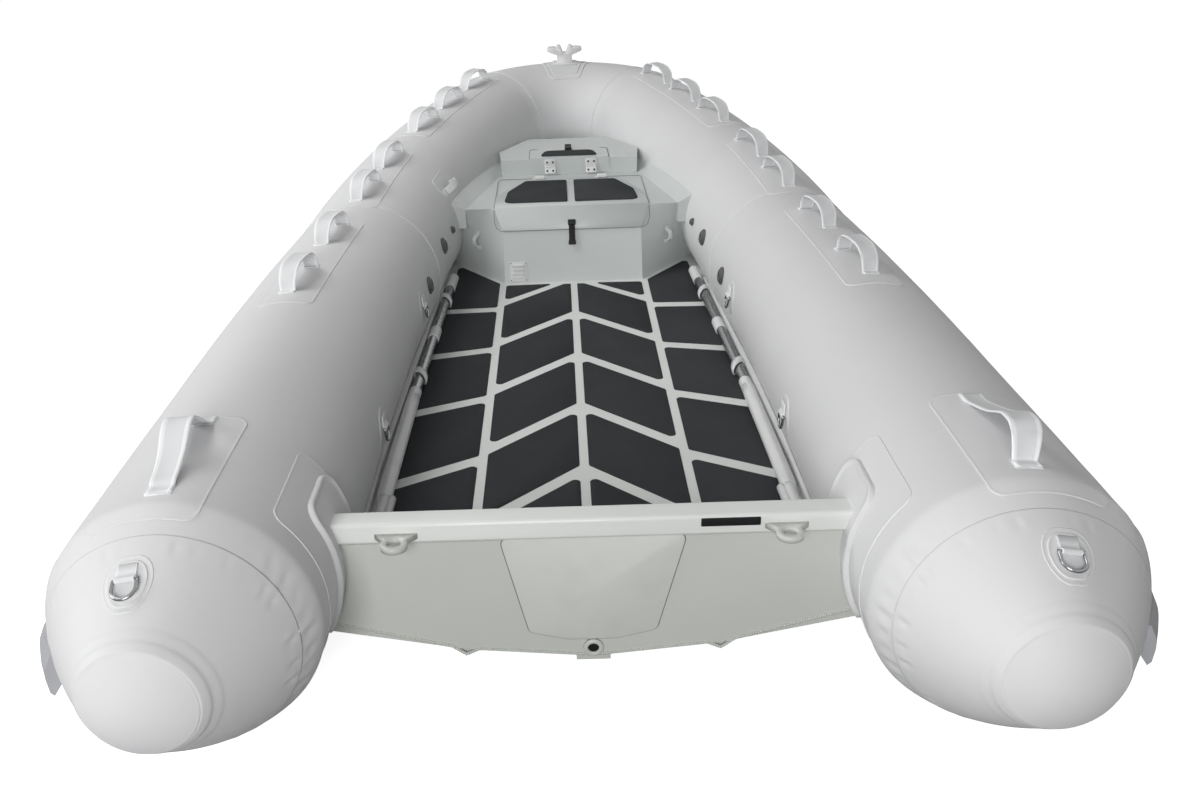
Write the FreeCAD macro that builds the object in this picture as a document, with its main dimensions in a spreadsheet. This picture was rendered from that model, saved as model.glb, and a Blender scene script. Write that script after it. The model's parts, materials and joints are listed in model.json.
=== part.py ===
"""Rigid inflatable boat of the 3.8 m class with a welded aluminium hull.

Frame: +Z up, +Y to the bow, +X to starboard, millimetres. The origin is on the floor
under the middle of the boat's length and width. Stations are measured forward from a
point in the rounded end of the side tubes, and heights from the floor.
"""
import FreeCAD, Part
import math
import os

import Sketcher
from FreeCAD import Matrix, Placement, Rotation, Vector

SIZES = (
    # Inflated tube and the line of its axis
    ("tube_radius", 215, "radius of the inflated tube"),
    ("well_half", 422, "half breadth between the side tubes at the stern"),
    ("tube_spread", "=well_half + tube_radius", "centre plane to the axis of a side tube at the stern"),
    ("straight_run", 730, "tube end seam to where the side starts to turn in"),
    ("side_radius", 17900, "plan radius of the long gentle turn of the side"),
    ("side_turn", 3.5, "degrees turned by the side tube up to its forward seam"),
    ("quarter_radius", 5100, "plan radius of the bow quarter"),
    ("quarter_turn", 16, "degrees turned by the bow quarter"),
    ("bow_rise", 4.9, "degrees by which the bow section rises from its seam"),
    ("bow_seam_turn", 52, "degrees from the centre plane's normal to the bow seams"),
    ("taper_at", 103, "station where a tube starts to narrow into its rounded end"),
    ("end_length", 113, "station zero to the cap of a tube end"),
    ("end_cap_radius", 84, "radius of the cap of a tube end"),
    ("end_cap_rise", 20, "how far the cap's centre lies over the tube's axis"),
    ("end_cap_bulge", 30, "height of the cap's dome"),
    ("strake_width", 72, "width of the rubber rub strake"),
    ("strake_proud", 20, "how far the rub strake stands off the tube"),
    ("strake_drop", 28, "middle of the rub strake under the tube's axis"),
    ("strake_end", 10, "station of the aft end of the rub strake"),
    ("tube_room", 0.5, "clearance between the tube and what it lies against"),
    # Hull
    ("transom_at", 262, "station of the aft face of the transom plate"),
    ("transom_thick", 5, "thickness of the transom plate"),
    ("beam_back", 10, "how far the transom beam stands aft of the plate"),
    ("beam_deep", 48, "fore and aft depth of the transom beam"),
    ("beam_high", 38, "height of the transom beam"),
    ("beam_top", 294, "height of the top of the transom beam"),
    ("beam_half", 424, "half length of the transom beam"),
    ("beam_round", 7, "rounding of the long edges of the transom beam"),
    ("keel_height", 12, "height of the hull plate over the floor at the keel"),
    ("bilge_half", 222, "half breadth of the bottom's knuckle"),
    ("bilge_height", 33, "height of the bottom's knuckle"),
    ("under_tube", 48, "how far the deck plate would reach past the well"),
    ("chine_half", "=deck_half + deck_thick", "half breadth of the chine"),
    ("chine_height", 84, "height of the chine"),
    ("deck_top", 100, "height of the deck"),
    ("deck_thick", 4, "thickness of the deck plate"),
    ("deck_half", "=well_half + under_tube", "half breadth of the deck plate under the tubes"),
    ("straight_hull", 1300, "length of the hull's straight run from the transom"),
    ("wing_hull", 27, "riser's outer foot to the hull's section there"),
    ("wing_keel_up", 14, "rise of the keel at the locker's wings"),
    ("wing_bilge_up", 22, "rise of the bottom's knuckle at the locker's wings"),
    ("wing_chine_half", 440, "half breadth of the chine at the locker's wings"),
    ("wing_chine_height", 90, "height of the chine at the locker's wings"),
    ("fore_at", 2600, "station of the hull's first bow section"),
    ("fore_keel", 54, "height of the keel at the first bow section"),
    ("fore_bilge_half", 170, "half breadth of the knuckle at the first bow section"),
    ("fore_bilge", 92, "height of the knuckle at the first bow section"),
    ("fore_chine_half", 400, "half breadth of the chine at the first bow section"),
    ("fore_chine", 128, "height of the chine at the first bow section"),
    ("fore_top", 150, "height of the hull's top at the first bow section"),
    ("bow_at", 2950, "station of the hull's second bow section"),
    ("bow_keel", 130, "height of the keel at the second bow section"),
    ("bow_bilge_half", 104, "half breadth of the knuckle at the second bow section"),
    ("bow_bilge", 160, "height of the knuckle at the second bow section"),
    ("bow_chine_half", 290, "half breadth of the chine at the second bow section"),
    ("bow_chine", 190, "height of the chine at the second bow section"),
    ("bow_top", 232, "height of the hull's top at the second bow section"),
    ("stem_at", 3260, "station of the hull's last section"),
    ("stem_keel", 244, "height of the keel at the last section"),
    ("stem_bilge_half", 42, "half breadth of the knuckle at the last section"),
    ("stem_bilge", 258, "height of the knuckle at the last section"),
    ("stem_chine_half", 120, "half breadth of the chine at the last section"),
    ("stem_chine", 272, "height of the chine at the last section"),
    ("stem_top", 300, "height of the hull's top at the last section"),
    ("pad_top_half", 154, "half breadth of the motor pad under the beam"),
    ("pad_knee_half", 109, "half breadth of the motor pad at its knee"),
    ("pad_knee", 68, "height of the motor pad's knee"),
    ("pad_foot_half", 42, "half breadth of the motor pad's foot"),
    ("pad_foot", 51, "height of the motor pad's foot"),
    ("pad_plate", 3, "thickness of the motor pad"),
    ("pad_corner", 14, "rounding of the motor pad's corners"),
    ("keel_strip_half", 30, "half width of the keel strip"),
    ("spray_half", 27, "half width of a spray strake's root"),
    ("spray_depth", 13, "depth of a spray strake under the plate"),
    # Lockers
    ("riser_at", 2045, "station of the foot of the fuel locker's riser"),
    ("riser_half", 215, "half breadth of the straight foot of the riser"),
    ("wing_at", 2323, "station of the outer foot of the riser"),
    ("wing_room", 5, "wing's outer foot to the side of the well"),
    ("wing_half", "=well_half - wing_room", "half breadth of the outer foot of the riser"),
    ("step_at", 2149, "station of the step's aft edge"),
    ("step_half", 345, "half breadth of the step's aft edge"),
    ("step_top", 315, "height of the step"),
    ("step_fore_half", 240, "half breadth of the step at the second riser"),
    ("flange_slope", 0.57, "rise of the flanges from the step's sides to the tubes"),
    ("anchor_at", 2585, "station of the second riser"),
    ("anchor_top", 368, "height of the anchor locker"),
    ("anchor_half", 234, "half breadth of the anchor locker's aft edge"),
    ("anchor_end", 3225, "station where the anchor locker's top meets the bow tube"),
    ("plate", 4, "thickness of the locker plates and lids"),
    ("lid_gap", 0.5, "gap between a lid and the plate that it covers"),
    ("lid_lap", 14, "how far a lid laps its opening"),
    ("fuel_lid_half", 241, "half breadth of the fuel lid at the step's edge"),
    ("fuel_lid_fore_half", 165, "half breadth of the fuel lid at its hinges"),
    ("fuel_lid_skirt", 63, "height of the fuel lid's skirt on the riser"),
    ("fuel_hinge_at", 2525, "station of the fuel lid's hinge axis"),
    ("fuel_lid_round", 95, "rounding of the fuel lid's forward corners"),
    ("fuel_hinge_half", 106, "centre plane to a hinge of the fuel lid"),
    ("anchor_lid_half", 136, "half breadth of the anchor lid"),
    ("anchor_lid_length", 152, "length of the anchor lid on top"),
    ("anchor_lid_skirt", 25, "height of the anchor lid's skirt on its riser"),
    ("anchor_lid_round", 60, "rounding of the anchor lid's forward corners"),
    ("anchor_hinge_half", 71, "centre plane to a hinge of the anchor lid"),
    ("knuckle_radius", 5, "radius of the hinge knuckles"),
    ("hinge_width", 44, "width of a hinge"),
    ("leaf", 25, "length of a hinge leaf"),
    ("leaf_thick", 2, "thickness of a hinge leaf"),
    ("latch_width", 24, "width of a rubber latch"),
    ("latch_length", 79, "length of the fuel lid's rubber latch"),
    ("latch_thick", 12, "thickness of a rubber latch"),
    # Deck pads
    ("pad_thick", 5, "thickness of the foam pads"),
    ("pad_gap", 20, "width of the bare strips between the pads"),
    ("pad_column", 220, "centre plane to the middle of a long side strip"),
    ("pad_pitch", 322, "pitch of the chevron strips"),
    ("pad_first", 468, "station of the first chevron's apex"),
    ("pad_fall", 229, "how far a chevron falls back at the side strip"),
    ("pad_aft", 330, "station of the pads' aft edge"),
    ("pad_edge", 10, "side pads to the side of the well at the stern"),
    ("pad_edge_fore", 50, "side pads to the side of the well at the riser"),
    ("pad_round", 11, "rounding of the pads' corners"),
    # Fittings
    ("band", 4, "thickness of the webbing of a handle"),
    ("loop_width", 36, "width of a grab handle's webbing"),
    ("loop_span", 172, "span of a grab handle's loop"),
    ("loop_height", 52, "height of a grab handle's loop"),
    ("loop_foot", 14, "length of each foot of a grab handle"),
    ("loop_out", 2, "degrees outboard from the crown to a grab handle"),
    ("loop_toe", 5, "degrees that a grab handle toes in to the bow"),
    ("loop_rest", 0.3, "gap between a fitting's foot and the tube"),
    ("stern_loop_width", 40, "width of a stern handle's webbing"),
    ("stern_loop_span", 206, "span of a stern handle's loop"),
    ("stern_foot", 20, "length of each foot of a stern handle"),
    ("stern_loop_out", 5, "degrees outboard from the crown to a stern handle"),
    ("stern_loop_height", 66, "height of a stern handle's loop"),
    ("ring_radius", 18, "radius of a D-ring's bow"),
    ("ring_leg", 14, "straight leg of a D-ring"),
    ("ring_out", 8, "degrees outboard from the crown to a stern D-ring"),
    ("ring_wire", 3, "radius of a D-ring's wire"),
    ("oar_radius", 13, "radius of an oar's shaft"),
    ("oar_in", 18, "oar's axis to the side of the well at its sleeve"),
    ("oar_in_fore", 46, "oar's axis to the side of the well at its fore end"),
    ("oar_fore", 2070, "station of an oar's fore end"),
    ("oar_sleeve", 1150, "station of the oar's sleeve"),
    ("oar_tip", 640, "station of the oar's aft end"),
    ("rail_in", 12, "side rail's inner face beyond the side of the well at the stern"),
    ("rail_in_fore", 26, "side rail's inner face inside the side of the well at the riser"),
    ("rail_high", 26, "height of a side rail"),
    ("eye_hole", 13, "radius of the hole of a towing eye"),
    ("eye_thick", 10, "thickness of a towing eye"),
    ("eye_out", 322, "centre plane to the hole of a towing eye"),
    ("eye_back", 32, "beam's aft face to the middle of a towing eye's hole"),
    ("drain_radius", 10, "radius of the drain"),
    ("cleat_half", 70, "half length of the bow cleat's horns"),
    ("cleat_height", 72, "height of the bow cleat"),
    ("cleat_depth", 36, "fore and aft depth of the bow cleat's post"),
    ("carry_span", 74, "span of the carry handle's loop"),
    ("carry_height", 34, "height of the carry handle's loop"),
    ("carry_width", 22, "width of the carry handle's loop"),
    ("tie_span", 40, "span of a tie loop"),
    ("tie_height", 24, "height of a tie loop"),
    ("tie_width", 12, "width of a tie loop"),
)

HANDLE_STATIONS = {"mid": (1150, 1515), "fore": (1950, 2240), "bow": (2635, 2910, 3180)}
STERN_HANDLE_STATION = 255
STERN_RING_STATION = -18
SIDE_STRIPS = ((849, 116), (1172, 85), (1491, 48), (1807, 9))
INNER_RINGS = ((800, -90), (1505, -85))
VALVES = ((1640, -82, 24), (1945, -78, 24), (2092, -79, 12))

doc = FreeCAD.newDocument("InflatableBoat")
dim = doc.addObject("Spreadsheet::Sheet", "Dim")
parts = []


def put(row, value, note):
    """Write one size in the sheet."""
    dim.set("A%d" % row, note)
    dim.set("B%d" % row, str(value))


for number, (name, value, note) in enumerate(SIZES, 1):
    dim.setAlias("B%d" % number, name)
for number, (name, value, note) in enumerate(SIZES, 1):
    put(number, value, note)
doc.recompute()


def size(text):
    """The value of an expression on the sheet's sizes."""
    return float(dim.evalExpression(text))


def radians(name):
    return math.radians(size(name))


# The axis of the tube, worked out from its runs and turns

RADIUS = size("tube_radius")
SIDE_TURN = radians("side_turn")
BOW_TURN = radians("side_turn") + radians("quarter_turn")
SIDE_LENGTH = size("straight_run") + size("side_radius") * SIDE_TURN
QUARTER_LENGTH = size("quarter_radius") * radians("quarter_turn")
SEAM_X = size("tube_spread") - size("side_radius") * (1 - math.cos(SIDE_TURN))
SEAM_Y = size("straight_run") + size("side_radius") * math.sin(SIDE_TURN)
TURN_X = SEAM_X - size("quarter_radius") * (math.cos(SIDE_TURN) - math.cos(BOW_TURN))
TURN_Y = SEAM_Y + size("quarter_radius") * (math.sin(BOW_TURN) - math.sin(SIDE_TURN))
BOW_RADIUS = TURN_X / math.cos(BOW_TURN)
BOW_Y = TURN_Y + BOW_RADIUS * (1 - math.sin(BOW_TURN))
BOW_LENGTH = BOW_RADIUS * (math.pi / 2 - BOW_TURN)
RISE = radians("bow_rise")
REACH = SEAM_Y + (BOW_Y - SEAM_Y + RADIUS + size("strake_proud")) * math.cos(RISE)
REACH += size("strake_drop + strake_width * 0.1") * math.sin(RISE)
AFT_TIP = size("end_length") + size("end_cap_bulge")
STERN = round((AFT_TIP - REACH) / 2, 3)
dim.setAlias("B%d" % (len(SIZES) + 1), "stern_at")
put(len(SIZES) + 1, STERN, "place of station zero in the frame")
doc.recompute()


def tilt():
    """The placement that raises the bow section from flat about its seam."""
    hinge = Vector(0, STERN + SEAM_Y, RADIUS)
    turn = Rotation(Vector(1, 0, 0), size("bow_rise"))
    return Placement(hinge, turn, Vector(0, 0, 0)) * Placement(-hinge, Rotation())


def flat_axis(run):
    """Point and heading of the starboard axis at a run from the end seam, before tilt."""
    straight = size("straight_run")
    if run <= straight:
        return Vector(size("tube_spread"), STERN + run, RADIUS), 0.0
    if run <= SIDE_LENGTH:
        turn = (run - straight) / size("side_radius")
        x = size("tube_spread") - size("side_radius") * (1 - math.cos(turn))
        return Vector(x, STERN + straight + size("side_radius") * math.sin(turn), RADIUS), turn
    if run <= SIDE_LENGTH + QUARTER_LENGTH:
        turn = SIDE_TURN + (run - SIDE_LENGTH) / size("quarter_radius")
        x = SEAM_X - size("quarter_radius") * (math.cos(SIDE_TURN) - math.cos(turn))
        y = SEAM_Y + size("quarter_radius") * (math.sin(turn) - math.sin(SIDE_TURN))
        return Vector(x, STERN + y, RADIUS), turn
    turn = BOW_TURN + (run - SIDE_LENGTH - QUARTER_LENGTH) / BOW_RADIUS
    x = BOW_RADIUS * math.cos(turn)
    y = BOW_Y - BOW_RADIUS * (1 - math.sin(turn))
    return Vector(x, STERN + y, RADIUS), turn


def axis_frame(run, side=1, raised=None):
    """Placement on the axis: x outboard, y up and z aft; raised forces the bow's tilt."""
    point, turn = flat_axis(run)
    outboard = Vector(side * math.cos(turn), math.sin(turn), 0)
    point.x *= side
    up = Vector(0, 0, 1)
    aft = outboard.cross(up)
    rotation = Rotation(outboard, up, aft, "ZXY")
    frame = Placement(point, rotation)
    if raised is None:
        raised = run > SIDE_LENGTH
    return tilt() * frame if raised else frame


def skin_frame(run, angle, side=1, lift=0.0):
    """Placement on the tube's skin: x forward, z out of the skin, angle from the crown."""
    frame = axis_frame(run, side)
    lean = math.radians(angle)
    outboard = frame.Rotation.multVec(Vector(1, 0, 0))
    up = frame.Rotation.multVec(Vector(0, 1, 0))
    normal = up * math.cos(lean) + outboard * math.sin(lean)
    forward = outboard.cross(up) * -side
    place = frame.Base + normal * (RADIUS + lift)
    return Placement(place, Rotation(forward, normal.cross(forward), normal, "ZXY"))


# Helpers that make objects of the document

def part(item, label):
    """Name a finished piece and put it on the list of pieces to write."""
    item.Label = label
    parts.append(item)
    return item


def bind(item, **texts):
    """Bind properties of an object to expressions on the sheet."""
    for name, text in texts.items():
        item.setExpression(name, sheet_text(text))
    return item


def sheet_text(text):
    """An expression for another object: each alias gets the sheet's name."""
    words = []
    word = ""
    for letter in text + " ":
        if letter.isalpha() or letter == "_" or (word and letter.isdigit()):
            word += letter
            continue
        words.append("Dim." + word if word in ALIASES else word)
        words.append(letter)
        word = ""
    return "".join(words).strip()


ALIASES = {row[0] for row in SIZES} | {"stern_at"}


def box(name, x, y, z, length, width, height):
    """A box whose corner and sides are expressions on the sheet."""
    item = doc.addObject("Part::Box", name)
    bind(item, Length=length, Width=width, Height=height)
    for axis, text in (("x", x), ("y", y), ("z", z)):
        item.setExpression("Placement.Base." + axis, sheet_text(text))
    return item


def cylinder(name, place, radius, height):
    """A cylinder along its placement's z."""
    item = doc.addObject("Part::Cylinder", name)
    item.Placement = place
    return bind(item, Radius=radius, Height=height)


def cut(name, base, *tools):
    """A piece less its tools."""
    for count, tool in enumerate(tools):
        item = doc.addObject("Part::Cut", "%s_cut_%d" % (name, count))
        item.Base = base
        item.Tool = tool
        base = item
    return base


def settle(item, seats, inward, gap):
    """Move a piece that stands off its seats along a direction until the gap is left."""
    doc.recompute()
    for _ in range(12):
        room = min(item.Shape.distToShape(seat.Shape)[0] for seat in seats)
        if abs(room - gap) < 0.01:
            break
        item.Placement = Placement(inward * (room - gap), Rotation()) * item.Placement
    return item


def fuse(name, *pieces):
    """Pieces made one, without the edges between faces in one plane."""
    item = doc.addObject("Part::MultiFuse", name + "_fuse")
    item.Shapes = list(pieces)
    item.Refine = True
    return item


def common(name, *pieces):
    item = doc.addObject("Part::MultiCommon", name + "_common")
    item.Shapes = list(pieces)
    return item


def group(name, pieces):
    """Like pieces that don't touch, as one object."""
    item = doc.addObject("Part::Compound", name + "_group")
    item.Links = list(pieces)
    return item


def mirror(name, source):
    """The port twin of a starboard piece."""
    item = doc.addObject("Part::Mirroring", name + "_mirror")
    item.Source = source
    item.Base = Vector(0, 0, 0)
    item.Normal = Vector(1, 0, 0)
    return item


def outline(owner, name, points):
    """A sketch of a closed outline whose corners are pairs of expressions."""
    maker = owner.newObject if owner else doc.addObject
    sketch = maker("Sketcher::SketchObject", name)
    spots = [Vector(size(x), size(y), 0) for x, y in points]
    for number, spot in enumerate(spots):
        sketch.addGeometry(Part.LineSegment(spot, spots[(number + 1) % len(spots)]))
    for number, spot in enumerate(spots):
        after = (number + 1) % len(spots)
        sketch.addConstraint(Sketcher.Constraint("Coincident", number, 2, after, 1))
        for kind, value, text in (("DistanceX", spot.x, points[number][0]),
                                  ("DistanceY", spot.y, points[number][1])):
            index = sketch.addConstraint(Sketcher.Constraint(kind, -1, 1, number, 1, value))
            sketch.setExpression("Constraints[%d]" % index, sheet_text(text))
    return sketch


def plane(body, role):
    return [item for item in body.Origin.OriginFeatures if item.Role == role][0]


def slab(name, role, points, thick, offset="0", both=False, back=False, rounds=()):
    """A body padded from an outline on one of its own planes, with rounded corners.

    rounds holds pairs of a corner's number and its radius as an expression.
    """
    body = doc.addObject("PartDesign::Body", name + "_body")
    sketch = outline(body, name + "_outline", points)
    sketch.AttachmentSupport = [(plane(body, role), "")]
    sketch.MapMode = "FlatFace"
    sketch.setExpression("AttachmentOffset.Base.z", sheet_text(offset))
    pad = body.newObject("PartDesign::Pad", name + "_pad")
    pad.Profile = sketch
    pad.Midplane = both
    pad.Reversed = back
    pad.setExpression("Length", sheet_text(thick))
    doc.recompute()
    for number, (corner, radius) in enumerate(rounds):
        spot = sketch.Placement.multVec(Vector(size(points[corner][0]), size(points[corner][1]), 0))
        normal = sketch.Placement.Rotation.multVec(Vector(0, 0, 1))
        base = body.Tip
        fillet = body.newObject("PartDesign::Fillet", "%s_round_%d" % (name, number))
        fillet.Base = (base, corner_edges(base.Shape, spot, normal))
        fillet.setExpression("Radius", sheet_text(radius))
        doc.recompute()
    return body


def corner_edges(shape, spot, normal):
    """Names of the straight edges along a normal that pass through a spot."""
    names = []
    for number, edge in enumerate(shape.Edges, 1):
        if edge.Curve.TypeId != "Part::GeomLine":
            continue
        run = edge.Vertexes[-1].Point - edge.Vertexes[0].Point
        away = edge.Vertexes[0].Point - spot
        if run.cross(normal).Length < 1e-3 * run.Length and away.cross(normal).Length < 1e-3:
            names.append("Edge%d" % number)
    return names


def wire_feature(name, edges):
    item = doc.addObject("Part::Feature", name)
    item.Shape = Part.Wire(edges)
    return item


def sweep(name, section, spine):
    """A solid swept from a section along every edge of a spine."""
    item = doc.addObject("Part::Sweep", name)
    item.Sections = [section]
    item.Spine = (spine, ["Edge%d" % (n + 1) for n in range(len(spine.Shape.Edges))])
    item.Solid = True
    item.Frenet = False
    return item


# Lines of the tube's axis

def arc_edge(first, second):
    """The arc of the flat axis between two runs on the starboard side."""
    middle = flat_axis((first + second) / 2)[0]
    return Part.Arc(flat_axis(first)[0], middle, flat_axis(second)[0]).toShape()


def port_point(run):
    point = flat_axis(run)[0]
    return Vector(-point.x, point.y, point.z)


OVERRUN = 60
FULL_TURN = SIDE_LENGTH + QUARTER_LENGTH
ALL = FULL_TURN + BOW_LENGTH


def side_spine(name, first):
    """The axis of the starboard side tube from a station to a little past its forward seam."""
    start = flat_axis(first)[0]
    turn = flat_axis(size("straight_run"))[0]
    end = flat_axis(SIDE_LENGTH)[0]
    heading = Vector(-math.sin(SIDE_TURN), math.cos(SIDE_TURN), 0)
    return wire_feature(name, [
        Part.LineSegment(start, turn).toShape(),
        arc_edge(size("straight_run"), SIDE_LENGTH),
        Part.LineSegment(end, end + heading * OVERRUN).toShape()])


def bow_spine(name):
    """The raised axis from the starboard seam round the bow to the port seam."""
    start = flat_axis(SIDE_LENGTH)[0]
    heading = Vector(-math.sin(SIDE_TURN), math.cos(SIDE_TURN), 0)
    edges = [Part.LineSegment(start - heading * OVERRUN, start).toShape(),
             arc_edge(SIDE_LENGTH, FULL_TURN),
             Part.Arc(flat_axis(FULL_TURN)[0], flat_axis(ALL)[0], port_point(FULL_TURN)).toShape(),
             Part.Arc(port_point(FULL_TURN), port_point(SIDE_LENGTH + QUARTER_LENGTH / 2),
                      port_point(SIDE_LENGTH)).toShape()]
    back = Vector(-heading.x, heading.y, 0)
    end = port_point(SIDE_LENGTH)
    edges.append(Part.LineSegment(end, end - back * OVERRUN).toShape())
    item = wire_feature(name, edges)
    item.Placement = tilt()
    return item


def section_circle(name, radius, frame):
    item = doc.addObject("Part::Circle", name)
    item.Placement = frame
    return bind(item, Radius=radius)


def seam_cutter(name, side, ahead):
    """A block that fills everything ahead of, or behind, the seam of the bow section."""
    point, turn = flat_axis(SIDE_LENGTH)
    point.x *= side
    flat = Vector(-side * math.sin(turn), math.cos(turn), 0)
    raised = tilt().Rotation.multVec(flat)
    normal = (flat + raised).normalize()
    block = doc.addObject("Part::Box", name)
    bind(block, Length="tube_radius * 4", Width="tube_radius * 4", Height="tube_radius * 4")
    rotation = Rotation(Vector(1, 0, 0), Vector(0, 0, 0), normal if ahead else -normal, "ZXY")
    half = RADIUS * 2
    block.Placement = Placement(point, rotation) * Placement(Vector(-half, -half, 0), Rotation())
    return block


def bow_start():
    """The raised placement where the bow section's sweep starts."""
    frame = axis_frame(SIDE_LENGTH, 1, raised=False)
    frame = frame * Placement(Vector(0, 0, OVERRUN), Rotation())
    return tilt() * frame


def tube_set(tag, radius):
    """The side tube and the whole bow section at one radius, cut at their seams."""
    start = size("taper_at")
    side = sweep("side_sweep_" + tag,
                 section_circle("side_circle_" + tag, radius, axis_frame(start)),
                 side_spine("side_spine_" + tag, start))
    side = cut("side_" + tag, side, seam_cutter("side_seam_" + tag, 1, True))
    bow = sweep("bow_sweep_" + tag, section_circle("bow_circle_" + tag, radius, bow_start()),
                bow_spine("bow_spine_" + tag))
    bow = cut("bow_" + tag, bow, seam_cutter("bow_seam_a_" + tag, 1, False),
              seam_cutter("bow_seam_b_" + tag, -1, False))
    return side, bow


def tubes():
    """The two side tubes, the two bow quarters and the bow's middle."""
    side, bow = tube_set("skin", "tube_radius")
    part(mirror("tube_main_port", side), "tube_main_port")
    part(side, "tube_main_starboard")
    seam = size("bow_seam_turn")
    reach = 3 * RADIUS
    centre = Vector(0, STERN + BOW_Y - BOW_RADIUS, RADIUS - reach / 2)
    ahead = [Vector(0, 0, 0)]
    for turn in (-90 + seam, -45 + seam / 2, 0, 45 - seam / 2, 90 - seam):
        ahead.append(Vector(math.sin(math.radians(turn)), math.cos(math.radians(turn)), 0) * reach)
    wedge = doc.addObject("Part::Feature", "bow_wedge")
    wedge.Shape = Part.Face(Part.makePolygon(ahead + ahead[:1])).extrude(Vector(0, 0, reach))
    wedge.Placement = tilt() * Placement(centre, Rotation())
    centre = part(common("bow_center", bow, wedge), "bow_center")
    sides = cut("bow_sides", bow, wedge)
    wall = reach * 2
    for label, x in (("bow_quarter_starboard", 0), ("bow_quarter_port", -wall)):
        half = doc.addObject("Part::Box", label + "_half")
        half.Length = half.Width = half.Height = wall
        half.Width = 3 * wall
        half.Placement.Base = Vector(x, STERN, RADIUS - wall / 2)
        part(common(label, sides, half), label)
    return side, bow


def end_ring(share, more=0.0):
    """Station, radius and rise of a ring of the rounded end, from 0 at the taper to 1 at the cap."""
    cap = size("end_cap_radius")
    radius = cap + (RADIUS - cap) * (1 - share ** 1.21) ** 0.95
    station = size("taper_at") - share * size("taper_at + end_length")
    return station, radius + more, size("end_cap_rise") * share * share


def rounded_end(tag, more):
    """The rounded end of the starboard tube: a cone lofted through rings, then the cap's dome."""
    rings = []
    for number, share in enumerate((0, 0.06, 0.14, 0.25, 0.4, 0.55, 0.7, 0.85, 0.95, 1)):
        station, radius, rise = end_ring(share, more)
        ring = doc.addObject("Part::Circle", "end_ring_%s_%d" % (tag, number))
        ring.Radius = radius
        ring.Placement = Placement(Vector(size("tube_spread"), STERN + station, RADIUS + rise),
                                   Rotation(Vector(1, 0, 0), 90))
        rings.append(ring)
    cone = doc.addObject("Part::Loft", "end_cone_" + tag)
    cone.Sections = rings
    cone.Solid = True
    station, cap, rise = end_ring(1, more)
    bulge = size("end_cap_bulge")
    ball = (cap * cap + bulge * bulge) / (2 * bulge)
    dome = doc.addObject("Part::Sphere", "end_dome_" + tag)
    dome.Radius = ball
    dome.Angle1 = math.degrees(math.asin((ball - bulge) / ball))
    dome.Placement = Placement(Vector(size("tube_spread"), STERN + station + ball - bulge,
                                      RADIUS + rise), Rotation(Vector(1, 0, 0), 90))
    return fuse("end_" + tag, cone, dome)


def tube_ends():
    """The rounded tube ends, and the starboard one a little larger as a room for others."""
    end = rounded_end("skin", 0)
    part(end, "tube_end_starboard")
    part(mirror("tube_end_port", end), "tube_end_port")
    return end, rounded_end("room", size("tube_room"))


def rub_strakes(side_room, bow_room, end_room):
    """The rubber strake round the outside of the tubes, in two sides and a bow."""
    shares = ((-1, 0.5), (0.25, 0.5), (0.85, 0.17), (1, -0.1), (0.9, -0.42), (0.6, -0.5),
              (0.25, -0.36), (-0.1, -0.22), (-1, -0.22))
    points = [("tube_radius + strake_proud * %g" % proud, "strake_width * %g - strake_drop" % high)
              for proud, high in shares]
    side = outline(None, "side_strake_section", points)
    side.Placement = axis_frame(size("taper_at"))
    bow = outline(None, "bow_strake_section", points)
    bow.Placement = bow_start()
    doc.recompute()
    band = sweep("side_strake_sweep", side, side_spine("side_strake_spine", size("taper_at")))
    sections = []
    for number, share in enumerate((0, 0.14, 0.3, 0.5, 1)):
        fall = (size("taper_at - strake_end") * share) / size("taper_at + end_length")
        station, radius, rise = end_ring(fall)
        section = outline(None, "end_strake_section_%d" % number, points)
        frame = axis_frame(station)
        frame.Base += Vector(radius - RADIUS, 0, rise)
        section.Placement = frame
        sections.append(section)
    tail = doc.addObject("Part::Loft", "end_strake")
    tail.Sections = sections
    tail.Solid = True
    tail.Ruled = True
    band = cut("rub_strake_side", fuse("side_strake", band, tail), side_room, end_room,
               seam_cutter("strake_seam", 1, True))
    part(band, "rub_strake_starboard")
    part(mirror("rub_strake_port", band), "rub_strake_port")
    band = sweep("bow_strake_sweep", bow, bow_spine("bow_strake_spine"))
    band = cut("rub_strake_bow", band, bow_room, seam_cutter("bow_strake_seam_a", 1, False),
               seam_cutter("bow_strake_seam_b", -1, False))
    part(band, "rub_strake_bow")


def hull_section(station, keel, bilge, chine, top):
    """A closed half section as a wire: keel, knuckle, chine, deck edge and centre."""
    y = STERN + station
    corners = [Vector(0, y, keel)]
    corners += [Vector(x, y, z) for x, z in (bilge, chine, top)]
    corners.append(Vector(0, y, top[1]))
    return Part.makePolygon(corners + corners[:1])


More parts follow.
